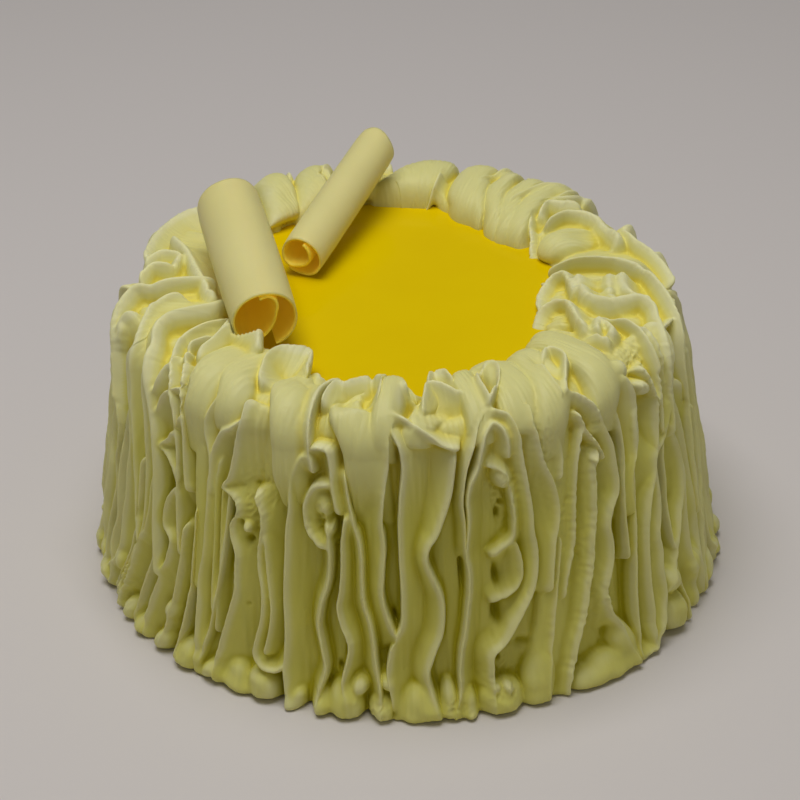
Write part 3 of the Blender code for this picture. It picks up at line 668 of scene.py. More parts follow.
ROUGH = (
    # Torn places: azimuth in degrees, share, reach across and up and depth in millimetres
    (-14, 0.5, 4, 5, 0.7), (-28, 0.48, 5, 12, 0.5), (20, 0.55, 4, 9, 0.6), (33, 0.4, 6, 22, 0.3),
    (38.5, 0.62, 4, 10, 0.6), (16.4, 0.08, 6, 5, 0.6), (60, 0.68, 8, 12, 0.6), (68, 0.86, 7, 6, 0.5),
    (-47, 0.72, 5, 6, 0.5), (39, 0.22, 5, 6, 0.5), (-61, 0.1, 6, 8, 0.5), (-6, 0.03, 4, 4, 0.6),
    (8, 0.03, 4, 4, 0.5), (28, 0.62, 5, 10, 0.3),
)

PITS = (
    # Dimples: azimuth in degrees, share, width, length and depth in millimetres
    (-14.4, 0.51, 0.7, 0.7, 2.2), (-12.9, 0.495, 0.8, 0.9, 2.4), (-2.2, 0.25, 0.7, 2.2, 3),
    (19.4, 0.515, 0.8, 0.7, 2.5), (18.6, 0.49, 0.8, 1.6, 2.8), (17.4, 0.34, 1, 3, 3),
    (17, 0.25, 1.4, 3.5, 3.5), (10.7, 0.37, 0.5, 5, 3), (-29.5, 0.4, 0.9, 0.9, 2.2),
    (-30.6, 0.445, 0.6, 0.9, 2), (-26.6, 0.45, 0.6, 1.2, 1.8), (-42.6, 0.24, 0.7, 2, 3),
    (-28.4, 0.54, 0.8, 0.6, 1.2), (-45.4, 0.52, 0.9, 0.6, 1.2), (-29.6, 0.235, 0.5, 0.5, 1),
    (40, 0.235, 2.6, 1.6, 3.5), (56.5, 0.45, 1.6, 3.5, 3), (-2.3, 0.02, 1.2, 2, 3),
    (16.6, 0.13, 0.6, 0.9, 2.4), (18.5, 0.17, 1.6, 1.4, 2), (21.5, 0.16, 2.2, 1.2, 1.8),
    (33, 0.37, 0.6, 1, 1), (38.6, 0.115, 1, 2, 1.6), (-12.2, 0.12, 0.6, 1.4, 2.5), (-6.2, 0.82, 1, 3, 3),
    (-50, 0.78, 1, 2.4, 3), (-46.4, 0.745, 1, 1.8, 2),
)


class Ribbon:
    """One folded sheet of buttercream, given by its free edge: azimuth in degrees, share of the outline,
    lift above it and width in millimetres at each knot. It leans by so many degrees to the right, or to
    the left where that is below 0, and its edge is as ragged as rough says, from 0 to about 1."""

    def __init__(self, lean, thickness, knots, rough=0.3):
        self.lean = lean
        self.thickness = thickness
        self.knots = np.array(knots, float)
        self.rough = rough


def tip_radius(azimuth, sizes):
    """How far from the middle the ruffles' inner ends stop, eased between the given azimuths."""
    tips = np.array(TIPS, float)
    turned = np.degrees(azimuth) % 360
    return sizes.tip_scale * MM * np.interp(turned, tips[:, 0], tips[:, 1])


def wall_ribbons(sizes):
    """The ruffles of the wall: those of the front along their given edges, and the rest drawn at random in
    the same manner, with pairs that lean over each other and foot ends that swing forwards."""
    ribbons = []
    for lean, width, thickness, lift, rough, *edge in WALL_EDGES:
        if edge[0][1] < 0.1:
            edge = [(edge[0][0], -0.04), *edge]
        ribbons.append(Ribbon(lean, thickness, [(*knot, lift, width) for knot in edge], rough))
    draw = np.random.default_rng(sizes.seed)
    azimuth = 59.0
    while azimuth < 293.0:
        behind = min(azimuth, 360 - azimuth) > 100
        side = -1.0 if azimuth < 180 else 1.0
        lean = side * draw.uniform(25, 62) if draw.random() < 0.75 else -side * draw.uniform(10, 45)
        top = draw.uniform(0.66, 0.78) if draw.random() < 0.6 else draw.uniform(0.45, 0.62)
        share = np.linspace(-0.04, top, 14)
        swing = 0.0 if behind else side * -draw.uniform(1.0, 5.0)
        path = azimuth + swing * (1 - share / top) ** 2 + wander(draw, share, 2.2, draw.uniform(0.5, 1.3))
        path = path + side * draw.uniform(-2, 4) * smooth(top - 0.12, top, share)
        lift = wander(draw, share, 3.0, 0.5) - 0.2
        width = np.full_like(share, draw.uniform(7.5, 10.0))
        thickness = draw.uniform(2.2, 3.4)
        knots = np.stack([path, share, lift, width], axis=-1)
        ribbons.append(Ribbon(lean, thickness, knots, draw.uniform(0.1, 0.6)))
        azimuth += draw.uniform(3.2, 5.2)
    return ribbons


def foot_pads(sizes):
    """Pads of cream at the foot round the sides and the back, drawn at random like those in front."""
    draw = np.random.default_rng(sizes.seed + 4)
    azimuth = 73.0
    while azimuth < 287.0:
        share, wide, tall = draw.uniform(0.02, 0.06), draw.uniform(2.6, 5.0), draw.uniform(4.0, 8.0)
        yield azimuth, share, wide, tall, draw.uniform(-40, 40), draw.uniform(-0.4, 1.1)
        azimuth += draw.uniform(3.0, 7.5)


def rim_ribbons(outline):
    """The folds over the rim: broad strokes that come up the wall in front, then the lips all round, whose
    plan gives each knot's share of the outline."""
    ribbons = [Ribbon(lean, thickness, edge, 0.2) for lean, thickness, *edge in RIM_EDGES]
    for lean, width, thickness, lift, *plan in RIM_FOLDS:
        azimuth, radius, *own = np.array(plan, float).T
        share = outline.share_of(np.radians(azimuth), radius * MM)
        lifts = own[0] if own else np.full_like(share, lift)
        knots = np.stack([azimuth, share, lifts, np.full_like(share, width)], axis=-1)
        ribbons.append(Ribbon(lean, thickness, knots, 0.2))
    return ribbons


def curved(travel, run, values):
    """Values at distances along a path, on the cubic through the knots whose slope at each knot is that
    between the knots beside it."""
    slope = np.gradient(values, run)
    knot = np.clip(np.searchsorted(run, travel, side="right") - 1, 0, len(run) - 2)
    span = run[knot + 1] - run[knot]
    part = (travel - run[knot]) / span
    rest = 1 - part
    ends = values[knot] * (1 + 2 * part) * rest**2 + values[knot + 1] * (1 + 2 * rest) * part**2
    return ends + span * part * rest * (slope[knot] * rest - slope[knot + 1] * part)


def blurred(values, rows, columns):
    """A grid averaged by bell-shaped weights over so many rows and columns to each side. Its columns close
    into a loop and its first and last rows go on outwards."""
    across = np.hanning(2 * columns + 3)[1:-1]
    down = np.hanning(2 * rows + 3)[1:-1]
    looped = sum(np.roll(values, step - columns, axis=1) * weight for step, weight in enumerate(across))
    padded = np.pad(looped / across.sum(), ((rows, rows), (0, 0)), mode="edge")
    summed = sum(padded[step : step + len(values)] * weight for step, weight in enumerate(down))
    return summed / down.sum()


def surface_point(outline, azimuth, share, sizes):
    """A point of the outline turned round the cake, and the direction out of the cake there."""
    tip = tip_radius(azimuth, sizes)
    radius, height = outline.at(share, tip)
    ahead_r, ahead_z = outline.at(np.minimum(share + SLOPE_STEP, 1), tip)
    back_r, back_z = outline.at(np.maximum(share - SLOPE_STEP, 0), tip)
    along_r, along_z = ahead_r - back_r, ahead_z - back_z
    length = np.hypot(along_r, along_z)
    out_r, out_z = along_z / length, -along_r / length
    out = np.stack([out_r * np.sin(azimuth), -out_r * np.cos(azimuth), out_z], axis=-1)
    return placed(radius, azimuth, height, sizes), out


def pressed(points, near, far, radius):
    """Points pushed down to the underside of a roll that has sunk in: under its axis from near to far, no
    point stands higher than the lower half of its circle, and past its ends the limit rises steeply."""
    reach = math.hypot(far[0] - near[0], far[1] - near[1])
    forward = (far - near)[:2] / reach
    across = points[:, :, :2] - near[:2]
    along = across @ forward
    aside = across @ np.array([-forward[1], forward[0]])
    level = near[2] + (far[2] - near[2]) * along / reach
    under = level - np.sqrt(np.clip(radius**2 - aside**2, 0, None))
    past_end = np.maximum(np.maximum(-along, along - reach), 0)
    under = under + PRESS_SLOPE * past_end
    below = (past_end < PRESS_REACH) & (np.abs(aside) < radius)
    points = points.copy()
    points[:, :, 2] = np.where(below, np.minimum(points[:, :, 2], under), points[:, :, 2])
    return points


class Drape:
    """The wall and rim as one skin over a grid of azimuths and shares of the outline. Its height under the
    outline is the highest of the folds laid on it, and folds lean sideways by shifting their crests."""

    def __init__(self, outline, sizes):
        self.outline = outline
        self.sizes = sizes
        fine = np.radians(np.arange(-FRONT, FRONT, sizes.fine_step))
        coarse = np.radians(np.arange(FRONT, 360 - FRONT, sizes.coarse_step))
        self.azimuth = np.concatenate([fine, coarse])
        self.share = np.linspace(0, 1, sizes.drape_rows)
        radius, _ = outline.at(self.share)
        self.reach = radius[:, None]
        self.floor = -outline.depth(self.share)[:, None] * sizes.floor_share + np.zeros_like(self.azimuth)
        draw = np.random.default_rng(sizes.seed + 2)
        lumps = sum(
            np.sin(count * self.azimuth + draw.uniform(0, 6) + 2.5 * np.sin(turns * self.share[:, None]))
            for count, turns in ((19, 7), (31, 9), (53, 6), (74, 11))
        )
        self.height = self.floor + GROUND_BUMPS * lumps
        self.shift = np.zeros_like(self.height)

    def lay(self, ribbon, turn=0.0):
        """Lays one fold, turned by so many radians. For each grid point near the fold's line it takes the
        signed distance across the line and the overrun past its ends. The side the fold leans over falls
        off steeply, as a quarter ellipse, and the other side, its face, slowly; a fold leaning far over is
        a band with a flat top."""
        sizes = self.sizes
        knots = ribbon.knots
        azimuth_knots = np.radians(knots[:, 0]) + turn
        reach_knots, _ = self.outline.at(knots[:, 1])
        steps = np.hypot(np.diff(azimuth_knots) * reach_knots[1:], np.diff(knots[:, 1]) * self.outline.length)
        run = np.concatenate([[0], np.cumsum(steps)])
        rows = max(8, int(run[-1] / sizes.path_step))
        travel = np.linspace(0, run[-1], rows)
        line = [curved(travel, run, values) for values in (azimuth_knots, *knots[:, 1:].T)]
        line_azimuth, line_share, line_lift, line_width = line
        lean = math.radians(abs(ribbon.lean))
        across = float(np.mean(line_width)) * MM
        band = abs(ribbon.lean) >= BAND_LEAN
        thick = ribbon.thickness * MM
        face = max(FACE_LEAST, across * math.sin(lean) * FACE_BY_WIDTH)
        steep = sizes.lip_round * thick + sizes.lip_slope * math.cos(lean)
        far = (across if band else face) + FOLD_MARGIN
        low = min(line_azimuth) - far / TURN_RADIUS
        high = max(line_azimuth) + far / TURN_RADIUS
        columns = np.flatnonzero((self.azimuth > low) & (self.azimuth < high))
        if not len(columns):
            return
        here = np.abs(self.share - np.mean(line_share)) < np.ptp(line_share) / 2 + far / self.outline.length
        lines = np.flatnonzero(here)
        window = np.ix_(lines, columns)
        azimuth = self.azimuth[columns][None, :]
        share = self.share[lines][:, None]
        reach = self.reach[lines]
        nearest = np.full((len(lines), len(columns)), np.inf)
        offset = np.zeros_like(nearest)
        overrun = np.zeros_like(nearest)
        lift = np.zeros_like(nearest)
        passed = np.zeros_like(nearest)
        for k in range(rows - 1):
            first_x = (line_azimuth[k] - azimuth) * reach
            first_y = (line_share[k] - share) * self.outline.length
            step_x = (line_azimuth[k + 1] - line_azimuth[k]) * reach
            step_y = (line_share[k + 1] - line_share[k]) * self.outline.length
            size = np.hypot(step_x, step_y)
            along = -(first_x * step_x + first_y * step_y) / size**2
            aside = -(first_x * step_y - first_y * step_x) / size
            before = np.minimum(along, 0) * size
            after = np.maximum(along - 1, 0) * size
            distance = np.sqrt(aside**2 + before**2 + after**2)
            closer = distance < nearest
            inside = ~((k == 0) & (along < 0)) & ~((k == rows - 2) & (along > 1))
            signed = np.where(inside, np.sign(aside) * distance, aside)
            nearest = np.where(closer, distance, nearest)
            offset = np.where(closer, signed, offset)
            overrun = np.where(closer & ~inside, np.abs(before + after), np.where(closer, 0, overrun))
            here_lift = line_lift[k] + (line_lift[k + 1] - line_lift[k]) * np.clip(along, 0, 1)
            lift = np.where(closer, here_lift * MM, lift)
            passed = np.where(closer, k + np.clip(along, 0, 1), passed)
        side = 1.0 if ribbon.lean > 0 else -1.0
        offset = offset * side
        passed = passed * run[-1] / rows
        ragged = np.sin(passed / RAG_WAVE + 3 * np.sin(passed / RAG_SWING) + 9 * ribbon.thickness)
        offset = offset + ribbon.rough * RAG_DEPTH * ragged * np.exp(-np.abs(offset) / RAG_FADE)
        if band:
            part = np.clip(np.abs(offset - across / 2) / (across / 2 + BAND_EDGE), 0, 1)
            shape = np.sqrt(np.clip(1 - part**BAND_ROUND, 0, 1)) - BAND_TILT * (offset / across - 0.5)
        else:
            over = np.clip(-offset / steep, 0, 1)
            part = np.clip(offset / face, 0, 1)
            lip = np.exp(-((offset / (sizes.lip * thick)) ** 2)) * (1 - part)
            sheet = sizes.lip_share * lip + (1 - sizes.lip_share) * (1 - part) ** sizes.hollow
            shape = np.where(offset < 0, np.sqrt(1 - over**2), sheet)
        end = np.sqrt(np.clip(1 - (overrun / END_ROUND) ** 2, 0, 1))
        shape = np.where(np.isfinite(nearest), shape * end, 0)
        floor = self.floor[window]
        height = floor + (lift - floor) * shape
        higher = height > self.height[window]
        self.height[window] = np.where(higher, height, self.height[window])
        overhang = (BAND_OVERHANG if band else sizes.overhang) * across
        lean_over = -side * overhang * math.sin(lean) * shape**2
        self.shift[window] = np.where(higher, lean_over, self.shift[window])

    def patch(self, azimuth, share, wide, tall):
        """The grid round a spot given in degrees and share, as an index, with distances across and up it."""
        lines = np.flatnonzero(np.abs(self.share - share) * self.outline.length < tall)
        turned = (self.azimuth - math.radians(azimuth) + math.pi) % (2 * math.pi) - math.pi
        columns = np.flatnonzero(np.abs(turned) * self.reach.max() < 1.3 * wide)
        across = turned[columns][None, :] * self.reach[lines]
        up = (self.share[lines] - share)[:, None] * self.outline.length + 0 * across
        return np.ix_(lines, columns), across, up

    def bell(self, azimuth, share, wide, tall, reach):
        """A bell curve round a spot, from its width and length in millimetres, and the grid there out to
        so many times those."""
        window, across, up = self.patch(azimuth, share, reach * wide * MM, reach * tall * MM)
        return window, np.exp(-((across / (wide * MM)) ** 2) - (up / (tall * MM)) ** 2)

    def lump(self, azimuth, share, wide, tall, slant, lift):
        """A pad with the height of an ellipsoid: half width, half length and lift in millimetres, and the
        slant of its length from upright in degrees. It runs smoothly into what lies there."""
        reach = math.hypot(wide, tall) * MM
        window, across, up = self.patch(azimuth, share, reach, reach)
        turn = math.radians(slant)
        x = (across * math.cos(turn) - up * math.sin(turn)) / (wide * MM)
        y = (across * math.sin(turn) + up * math.cos(turn)) / (tall * MM)
        shape = np.sqrt(np.clip(1 - x**2 - y**2, 0, 1))
        there = self.height[window]
        gap = self.floor[window] + (lift * MM - self.floor[window]) * shape - there
        blend = self.sizes.pad_blend * shape
        self.height[window] = np.where(shape > 0, there + (gap + np.sqrt(gap**2 + blend**2)) / 2, there)
        self.shift[window] = np.where((shape > 0) & (gap > 0), 0, self.shift[window])

    def pit(self, azimuth, share, wide, tall, depth):
        """A dimple with the height of a bell curve, sunk into what lies there."""
        window, bell = self.bell(azimuth, share, wide, tall, 3)
        self.height[window] -= depth * MM * bell

    def waves(self, count, across, up, seed):
        """An uneven field of about -1 to 1: straight waves of random phase and heading, and of lengths
        between the given ones in millimetres, across the grid and up it."""
        draw = np.random.default_rng(seed)
        x = self.azimuth[None, :] * self.outline.sizes.shoulder_radius / MM
        y = self.share[:, None] * self.outline.length / MM
        total = np.zeros(self.height.shape)
        for _ in range(count):
            heading = draw.uniform(0, 2 * math.pi)
            run_x = 2 * math.pi / draw.uniform(*across) * math.cos(heading)
            run_y = 2 * math.pi / draw.uniform(*up) * math.sin(heading)
            total += np.sin(run_x * x + run_y * y + draw.uniform(0, 2 * math.pi))
        return total / math.sqrt(count)

    def tear(self):
        """Draws faint drag marks up the whole skin, lumps along the foot, and crags in the torn places:
        ridged waves that fade out from the middle of each."""
        self.height += self.sizes.drag_depth * self.waves(*DRAG_WAVES)
        near_foot = 1 - smooth(FOOT_WAVES_LOW, FOOT_WAVES_HIGH, self.share)[:, None]
        self.height += self.sizes.foot_swell * near_foot * self.waves(*FOOT_WAVES)
        crags = np.abs(self.waves(*CRAG_WAVES)) - CRAG_LEVEL
        for azimuth, share, wide, tall, depth in ROUGH:
            window, bell = self.bell(azimuth, share, wide, tall, 2)
            self.height[window] -= depth * MM * bell * crags[window]

    def settle(self):
        """Softens the folds as the cream sags: the crests' sideways shift over 1 mm or so, the height a
        little, and the height at the foot more, where the folds end in round toes. Then notes where the
        skin is hollow (above 0) or a crest (below 0) against its surroundings, which the finish turns into
        painted shade in the hollows and painted light on the crests."""
        sizes = self.sizes
        self.shift = blurred(self.shift, 2, 4)
        self.height = blurred(self.height, 1, 1)
        toes = blurred(self.height, 3, 5) + sizes.toe_swell
        near_foot = 1 - smooth(0.0, sizes.toe_share, self.share)[:, None]
        self.height = self.height + near_foot * (toes - self.height)
        around = blurred(self.height, sizes.crease_rows, sizes.crease_columns)
        self.crease = np.clip((around - self.height) / sizes.crease_depth, -1, 1)

    def sectors(self):
        """The skins of the drape, cut into sectors whose edges meet. Each is closed down to the middle of the
        foot and down to a point under the curd by fans of triangles."""
        sizes = self.sizes
        azimuth = self.azimuth[None, :] + self.shift / self.reach
        share = self.share[:, None] + 0 * azimuth
        base, out = surface_point(self.outline, azimuth, share, sizes)
        points = base + out * self.height[:, :, None]
        lifted = points[:, :, 2]
        toe = np.clip(1 - lifted / sizes.toe, 0, 1)
        tuck = sizes.toe * (1 - np.sqrt(1 - toe**2))
        points[:, :, 0] -= tuck * np.sin(azimuth)
        points[:, :, 1] += tuck * np.cos(azimuth)
        points[:, :, 2] = np.maximum(lifted, STAND)
        for _, near, far, diameter, *_ in CURLS:
            radius = diameter / 2 * MM + sizes.curl_gap
            points = pressed(points, np.array(near) * MM, np.array(far) * MM, radius)
        inner = points[-1:].copy()
        inner[:, :, 2] = CURD_LOW.z
        points = np.concatenate([points, inner])
        poles = np.array([(0, 0, STAND), (TOP_X, TOP_Y, CURD_LOW.z - UNDER_POOL)])
        # How deep and how creased the skin lies, for the finish: it paints shade into the deep creases, a
        # golden glow into the rim's hollows and light onto the crests.
        deep = np.clip(-self.height / sizes.wall_depth, 0, 1.2)
        deep = np.concatenate([deep, deep[-1:]])
        crease = np.concatenate([self.crease, self.crease[-1:]])
        columns = len(self.azimuth)
        cuts = np.linspace(0, columns, SECTORS + 1).astype(int)
        skins = []
        for start, stop in zip(cuts[:-1], cuts[1:]):
            pick = np.arange(start, stop + 1) % columns
            rows, wide = len(points), len(pick)
            corner = np.arange(rows - 1)[:, None] * wide + np.arange(wide - 1)[None, :]
            quads = np.stack([corner, corner + 1, corner + wide + 1, corner + wide], axis=-1).reshape(-1, 4)
            step = np.arange(wide - 1)
            pole = np.full(wide - 1, rows * wide)
            under = np.stack([pole, step + 1, step], axis=-1)
            over = np.stack([pole - wide + step, pole - wide + step + 1, pole + 1], axis=-1)
            values = {
                "depth": np.concatenate([deep[:, pick].ravel(), (0, 1)]),
                "crease": np.concatenate([crease[:, pick].ravel(), (0, 0)]),
            }
            skin = np.concatenate([points[:, pick].reshape(-1, 3), poles])
            skins.append((skin, quads, np.concatenate([under, over]), values))
        return skins


# Curd and curls


def curd_skin():
    """The pool of curd: a disc whose surface is level but for slow swells, with a rounded edge, closed
    under its floor."""
    reach = (CURD_HIGH.x - CURD_LOW.x) / 2
    ring = np.linspace(0.02, 1.0, 60)[:, None]
    azimuth = np.linspace(0, 2 * math.pi, 200, endpoint=False)[None, :]
    edge = np.sqrt(1 - np.clip((ring - POOL_EDGE) / (1 - POOL_EDGE), 0, 1) ** 2)
    x = TOP_X + reach * ring * np.sin(azimuth)
    y = TOP_Y - reach * ring * np.cos(azimuth)
    swell = POOL_SWELL * (np.sin(90 * x + 1.0) * np.sin(75 * y + 0.4) - 1)
    z = CURD_HIGH.z + swell - POOL_DROP * (1 - edge)
    top = np.stack([x, y, z], axis=-1)[::-1]
    floor = top[:1].copy()
    floor[:, :, 2] = CURD_LOW.z
    points, quads, triangles = capped_tube(np.concatenate([floor, top]))
    return points, quads, triangles, {}


def curl_skin(sizes, near, far, diameter, start, sweep, tuck, core, against, seed):
    """A rolled sheet of chocolate. Its cross-section is a thin band that starts at an angle in degrees from
    the left and goes clockwise over the top through the sweep: on the outer radius at first, and then,
    from the tuck on, eased inwards over a third of a turn to a core share of that radius, where it lies
    against one side. Carried from the near end to the far one, it breathes a little, and both ends are
    cut unevenly."""
    draw = np.random.default_rng(seed)
    steps, rows = 170, 70
    sheet = sizes.sheet
    swept = np.linspace(0, sweep, steps)
    radius = (diameter / 2 * MM - sheet / 2) * (1 - (1 - core) * smooth(tuck, tuck + 120, swept))
    turn = np.radians(start - swept)
    inwards = 0.8 * (radius[0] - radius)
    off_side = inwards * math.cos(math.radians(against))
    off_up = inwards * math.sin(math.radians(against))
    lengthwise = np.linspace(0, 1, rows)[:, None]
    near, far = np.array(near) * MM, np.array(far) * MM
    reach = np.linalg.norm(far - near)
    forward = (far - near) / reach
    side = unit(np.cross([0, 0, 1.0], forward))
    upright = np.cross(forward, side)
    part = swept / sweep
    cut_near = wander(draw, part, 1.6, 0.7 * MM) + 0.5 * MM
    cut_far = wander(draw, part, 2.0, 0.9 * MM) - 0.6 * MM
    along = cut_near * (1 - lengthwise) + (reach + cut_far) * lengthwise
    breathe = 1 + 0.018 * np.sin(3.0 * lengthwise + 2 * turn) - 0.015 * np.abs(2 * lengthwise - 1) ** 3
    end = np.minimum(np.arange(steps), np.arange(steps)[::-1]) / 4.0
    thin = 0.75 + 0.25 * smooth(0, 0.06, lengthwise) * smooth(0, 0.06, 1 - lengthwise)
    half = sheet / 2 * np.sqrt(1 - (1 - np.clip(end, 0, 1)) ** 2 * 0.9) * thin

    def band(offset):
        r = (radius + offset) * breathe
        flat = side * (r * np.cos(turn) + off_side)[:, :, None]
        flat = flat + upright * (r * np.sin(turn) + off_up)[:, :, None]
        return near + flat + forward * along[:, :, None]

    rings = np.concatenate([band(half), band(-half)[:, ::-1]], axis=1)
    points, quads, _ = capped_tube(rings)
    columns = 2 * steps
    step = np.arange(steps - 1)
    other = columns - 1 - step
    last = (rows - 1) * columns
    near_cap = np.stack([step + 1, step, other, other - 1], axis=-1)
    far_cap = np.stack([last + step, last + step + 1, last + other - 1, last + other], axis=-1)
    # The inner faces, from the tuck on, which the finish paints golden and glowing as painted shade and
    # light.
    inside = np.concatenate([smooth(tuck - 20, tuck + 60, swept), np.ones(steps)])
    values = {"along": np.repeat(lengthwise.ravel() * reach, columns), "inside": np.tile(inside, rows)}
    faces = np.concatenate([quads, near_cap, far_cap])[:, ::-1]
    return points[:-2], faces, np.zeros((0, 3), int), values


# Sizes and colours


def length(name, description, default):
    return bpy.props.FloatProperty(name=name, description=description, default=default, unit="LENGTH")


def number(name, description, default):
    return bpy.props.FloatProperty(name=name, description=description, default=default)


def count(name, description, default):
    return bpy.props.IntProperty(name=name, description=description, default=default, min=0)


def shade(name, description, default):
    return bpy.props.FloatVectorProperty(
        name=name, description=description, default=default, size=3, subtype="COLOR", min=0.0, max=1.0
    )


class CakeSizes(bpy.types.PropertyGroup):
    foot_radius: length("Foot radius", "Reach of the ruffles where they stand", 96.3 * MM)
    shoulder_radius: length("Shoulder radius", "Reach of the ruffles under the rim", 85.0 * MM)
    shoulder_height: length("Shoulder height", "Where the wall turns into the rim", 79.0 * MM)
    rim_radius: length("Rim radius", "Radius of the rim's crown", 71.0 * MM)
    inner_radius: length("Inner radius", "Usual reach of the folds' inner ends", 50.0 * MM)
    rim_height: length("Rim height", "Height of the rim's crown", 92.0 * MM)
    tip_scale: number("Tip scale", "Scales where the ruffles end", 1.0)
    tip_sink: length("Tip sink", "How far the folds' ends dip under the curd", 1.5 * MM)
    wall_depth: length("Wall depth", "How deep the ruffles are on the wall", 9.5 * MM)
    rim_depth: length("Rim depth", "How deep the ruffles are on the rim", 7.5 * MM)
    tip_depth: length("Tip depth", "How deep the ruffles are at their tips", 6.0 * MM)
    fine_step: number("Fine step", "Degrees between columns in front", 0.16)
    coarse_step: number("Coarse step", "Degrees between columns behind", 0.24)
    drape_rows: count("Wall rows", "Rows of points over the wall", 290)
    sheet: length("Chocolate sheet", "Thickness of the rolled chocolate", 1.0 * MM)
    curl_gap: length("Curl gap", "Room left between a curl and the cream", 0.15 * MM)
    path_step: length("Path step", "Distance between the points of a fold's line", 1.0 * MM)
    lip_round: number("Lip round", "Steep side by thickness", 0.36)
    lip_slope: length("Lip slope", "More reach of the steep side for an upright fold", 0.5 * MM)
    toe_swell: length("Toe swell", "How far the folds' toes swell at the foot", 0.5 * MM)
    foot_swell: length("Foot lumps", "Depth of the lumps along the foot", 0.4 * MM)
    pad_blend: length("Pad blend", "How softly the pads run into the folds", 1.6 * MM)
    drag_depth: length("Drag marks", "Depth of the drag marks in the cream", 0.09 * MM)
    toe_share: number("Toe share", "How far up the toes reach", 0.05)
    # The creases measured here get painted shade on the wall and a painted golden glow on the rim.
    crease_rows: count("Crease rows", "Rows that creases are seen over", 10)
    crease_columns: count("Crease columns", "Columns to the same end", 14)
    crease_depth: length("Crease depth", "Depth under the surroundings that is a full crease", 2.0 * MM)
    floor_share: number("Floor", "Share of the depth between folds", 0.66)
    lip: number("Lip", "Width of a fold's lip by its thickness", 0.62)
    lip_share: number("Lip share", "Share of the height in the lip", 0.24)
    hollow: number("Hollow", "How concave the faces are", 1.25)
    overhang: number("Overhang", "Sideways shift of crests by width", 0.17)
    toe: length("Toe", "Radius of the rounding at the foot", 3.0 * MM)
    seed: count("Seed", "Seed of the piping's unevenness", 5)
    # Cream colours with painted light and shade: painted light on the edges and on the top, painted shade low
    # on the wall and in its creases, and a painted golden glow in the rim's hollows; the dull patches are
    # partly random.
    cream_crest_light: shade("Cream, edges", "Buttercream at the ruffles' edges", (0.79, 0.77, 0.44))
    cream_lit_and_bright: shade("Cream", "Buttercream on the faces", (0.76, 0.73, 0.33))
    cream_shaded_and_dull: shade("Cream, dull", "Duller patches of buttercream", (0.69, 0.655, 0.12))
    cream_hollow_glow: shade("Cream, hollows", "Buttercream in the rim's hollows", (0.73, 0.64, 0.11))
    cream_crease_shade: shade("Cream, creases", "Buttercream in the creases of the wall", (0.47, 0.42, 0.015))
    curd_high: shade("Curd", "Lemon curd", (0.82, 0.605, 0.0))
    curd_low: shade("Curd, deep", "Lemon curd where it is thick", (0.76, 0.53, 0.0))
    chocolate_high: shade("Chocolate", "White chocolate", (0.78, 0.735, 0.33))
    # The colour inside a roll is painted golden shade and glow, and its glow colour is a painted emission.
    chocolate_inside_shade_glow: shade("Chocolate, inside", "White chocolate inside a roll", (0.88, 0.71, 0.08))
    chocolate_glow: shade("Chocolate, glow", "Light through a roll's thin sheet", (1.0, 0.60, 0.02))
    chocolate_low: shade("Chocolate, dull", "White chocolate where it is dull", (0.74, 0.69, 0.28))


def sizes_of(context):
    return context.scene.cake_sizes


# Operators


class CAKE_OT_drape(bpy.types.Operator):
    """Pipe the ruffled wall"""

    bl_idname = "cake.drape"
    bl_label = "Ruffled wall"

    def execute(self, context):
        sizes = sizes_of(context)
        outline = Outline(sizes)
        drape = Drape(outline, sizes)
        for ribbon in wall_ribbons(sizes) + rim_ribbons(outline):
            for turn in (-2 * math.pi, 0.0, 2 * math.pi):
                drape.lay(ribbon, turn)
        for lump in (*LUMPS, *foot_pads(sizes)):
            drape.lump(*lump)
        for pit in PITS:
            drape.pit(*pit)
        for azimuth, radius, *size in HOLLOWS:
            drape.pit(azimuth, outline.share_of(math.radians(azimuth), radius * MM), *size)
        drape.settle()
        drape.tear()
        finish = buttercream_finish(sizes)
        for number, skin in enumerate(drape.sectors(), 1):
            piece = mesh_piece(f"buttercream_wall_{number}", *skin)
            piece.data.materials.append(finish)
            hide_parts("iced_cake")
        return {"FINISHED"}


class CAKE_OT_curd(bpy.types.Operator):
    """Pour the lemon curd"""

    bl_idname = "cake.curd"
    bl_label = "Lemon curd"

    def execute(self, context):
        sizes = sizes_of(context)
        piece = mesh_piece("lemon_curd_pool", *curd_skin())
        piece.data.materials.append(curd_finish(sizes))
        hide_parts("lemon_curd")
        return {"FINISHED"}


class CAKE_OT_curls(bpy.types.Operator):
    """Lay the white chocolate curls"""

    bl_idname = "cake.curls"
    bl_label = "Chocolate curls"

    def execute(self, context):
        sizes = sizes_of(context)
        finish = chocolate_finish(sizes)
        for name, *shape in CURLS:
            piece = mesh_piece(f"chocolate_roll_{name}", *curl_skin(sizes, *shape))
            piece.data.materials.append(finish)
            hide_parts(f"chocolate_curl_{name}")
        return {"FINISHED"}


def area_light(name, place, size, power, tint):
    """A square soft light at a place, turned to shine at the middle of the cake."""
    light = bpy.data.lights.new(name, "AREA")
    light.size = size
    light.energy = power
    light.color = tint
    lamp = bpy.data.objects.new(name, light)
    lamp.location = place
    bpy.context.scene.collection.objects.link(lamp)
    x, y, z = np.array(LIGHT_AIM) - np.array(place)
    lamp.rotation_euler = (math.atan2(math.hypot(x, y), -z), 0.0, math.atan2(-x, y))


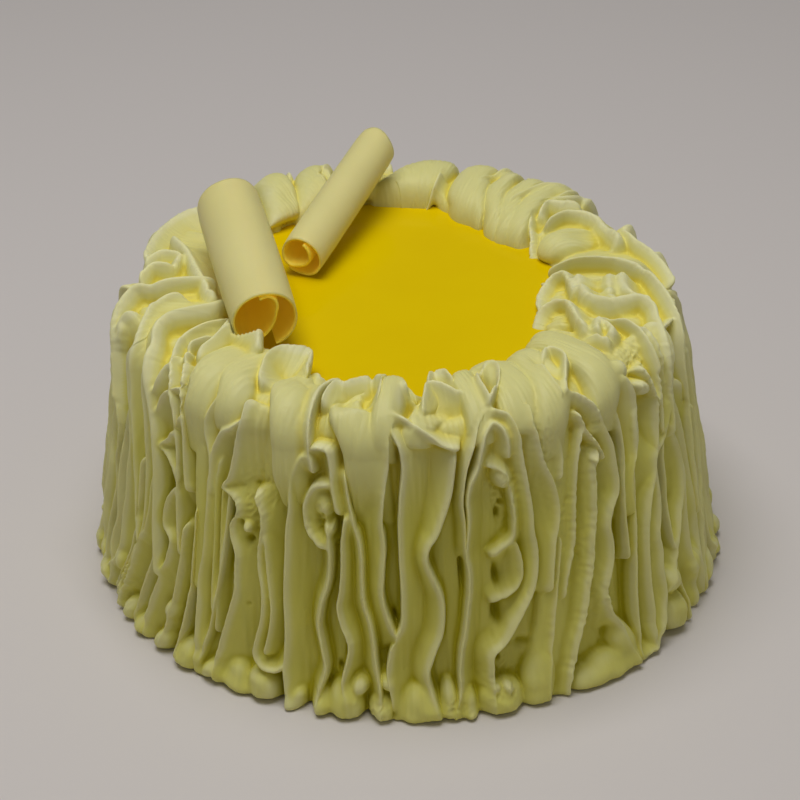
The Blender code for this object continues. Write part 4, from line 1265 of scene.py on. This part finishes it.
class CAKE_OT_stage(bpy.types.Operator):
    """Set the pale floor, the soft lights and the camera"""

    bl_idname = "cake.stage"
    bl_label = "Floor, lights and camera"

    def execute(self, context):
        scene = context.scene
        floor_mesh = bpy.data.meshes.new("floor")
        corners = [(FLOOR_REACH * x, FLOOR_REACH * y, 0) for x, y in ((-1, -1), (1, -1), (1, 1), (-1, 1))]
        floor_mesh.from_pydata(corners, [], [(0, 1, 2, 3)])
        floor = bpy.data.objects.new("floor", floor_mesh)
        scene.collection.objects.link(floor)
        paper = Shader("pale_paper", Roughness=0.9, Specular_IOR_Level=0.1)
        paper.principled.inputs["Base Color"].default_value = colour(FLOOR_COLOUR)
        floor_mesh.materials.append(paper.material)
        for light in LIGHTS:
            area_light(*light)
        world = bpy.data.worlds.new("studio")
        world.use_nodes = True
        background = world.node_tree.nodes["Background"]
        background.inputs["Color"].default_value = colour(WORLD_COLOUR)
        background.inputs["Strength"].default_value = WORLD_STRENGTH
        scene.world = world
        scene.view_settings.view_transform = "Standard"
        camera = bpy.data.cameras.new("camera")
        camera.sensor_width = SENSOR_WIDTH
        camera.lens = FOCAL_PIXELS / PHOTO_SIDE * SENSOR_WIDTH
        camera.clip_start = CLIP_START
        eye = bpy.data.objects.new("camera", camera)
        sine, cosine = math.sin(CAMERA_TILT), math.cos(CAMERA_TILT)
        across = (FOOT_PIXEL[0] - PHOTO_SIDE / 2) / FOCAL_PIXELS * CAMERA_DISTANCE
        above = -(FOOT_PIXEL[1] - PHOTO_SIDE / 2) / FOCAL_PIXELS * CAMERA_DISTANCE
        eye.location = (
            -across,
            -above * sine - CAMERA_DISTANCE * cosine,
            -above * cosine + CAMERA_DISTANCE * sine,
        )
        eye.rotation_euler = (math.pi / 2 - CAMERA_TILT, 0.0, 0.0)
        scene.collection.objects.link(eye)
        scene.camera = eye
        return {"FINISHED"}


class CAKE_PT_panel(bpy.types.Panel):
    """The cake's pieces and sizes"""

    bl_idname = "CAKE_PT_panel"
    bl_label = "Lemon curd cake"
    bl_space_type = "VIEW_3D"
    bl_region_type = "UI"
    bl_category = "Cake"

    def draw(self, context):
        for operator in OPERATORS:
            self.layout.operator(operator.bl_idname)
        for name in CakeSizes.__annotations__:
            self.layout.prop(sizes_of(context), name)


OPERATORS = (CAKE_OT_drape, CAKE_OT_curd, CAKE_OT_curls, CAKE_OT_stage)
CLASSES = (CakeSizes, *OPERATORS, CAKE_PT_panel)


def register():
    for each in CLASSES:
        bpy.utils.register_class(each)
    bpy.types.Scene.cake_sizes = bpy.props.PointerProperty(type=CakeSizes)


def unregister():
    del bpy.types.Scene.cake_sizes
    for each in reversed(CLASSES):
        bpy.utils.unregister_class(each)


def main():
    register()
    bpy.ops.cake.drape()
    bpy.ops.cake.curd()
    bpy.ops.cake.curls()
    bpy.ops.cake.stage()


if __name__ == "__main__":
    main()
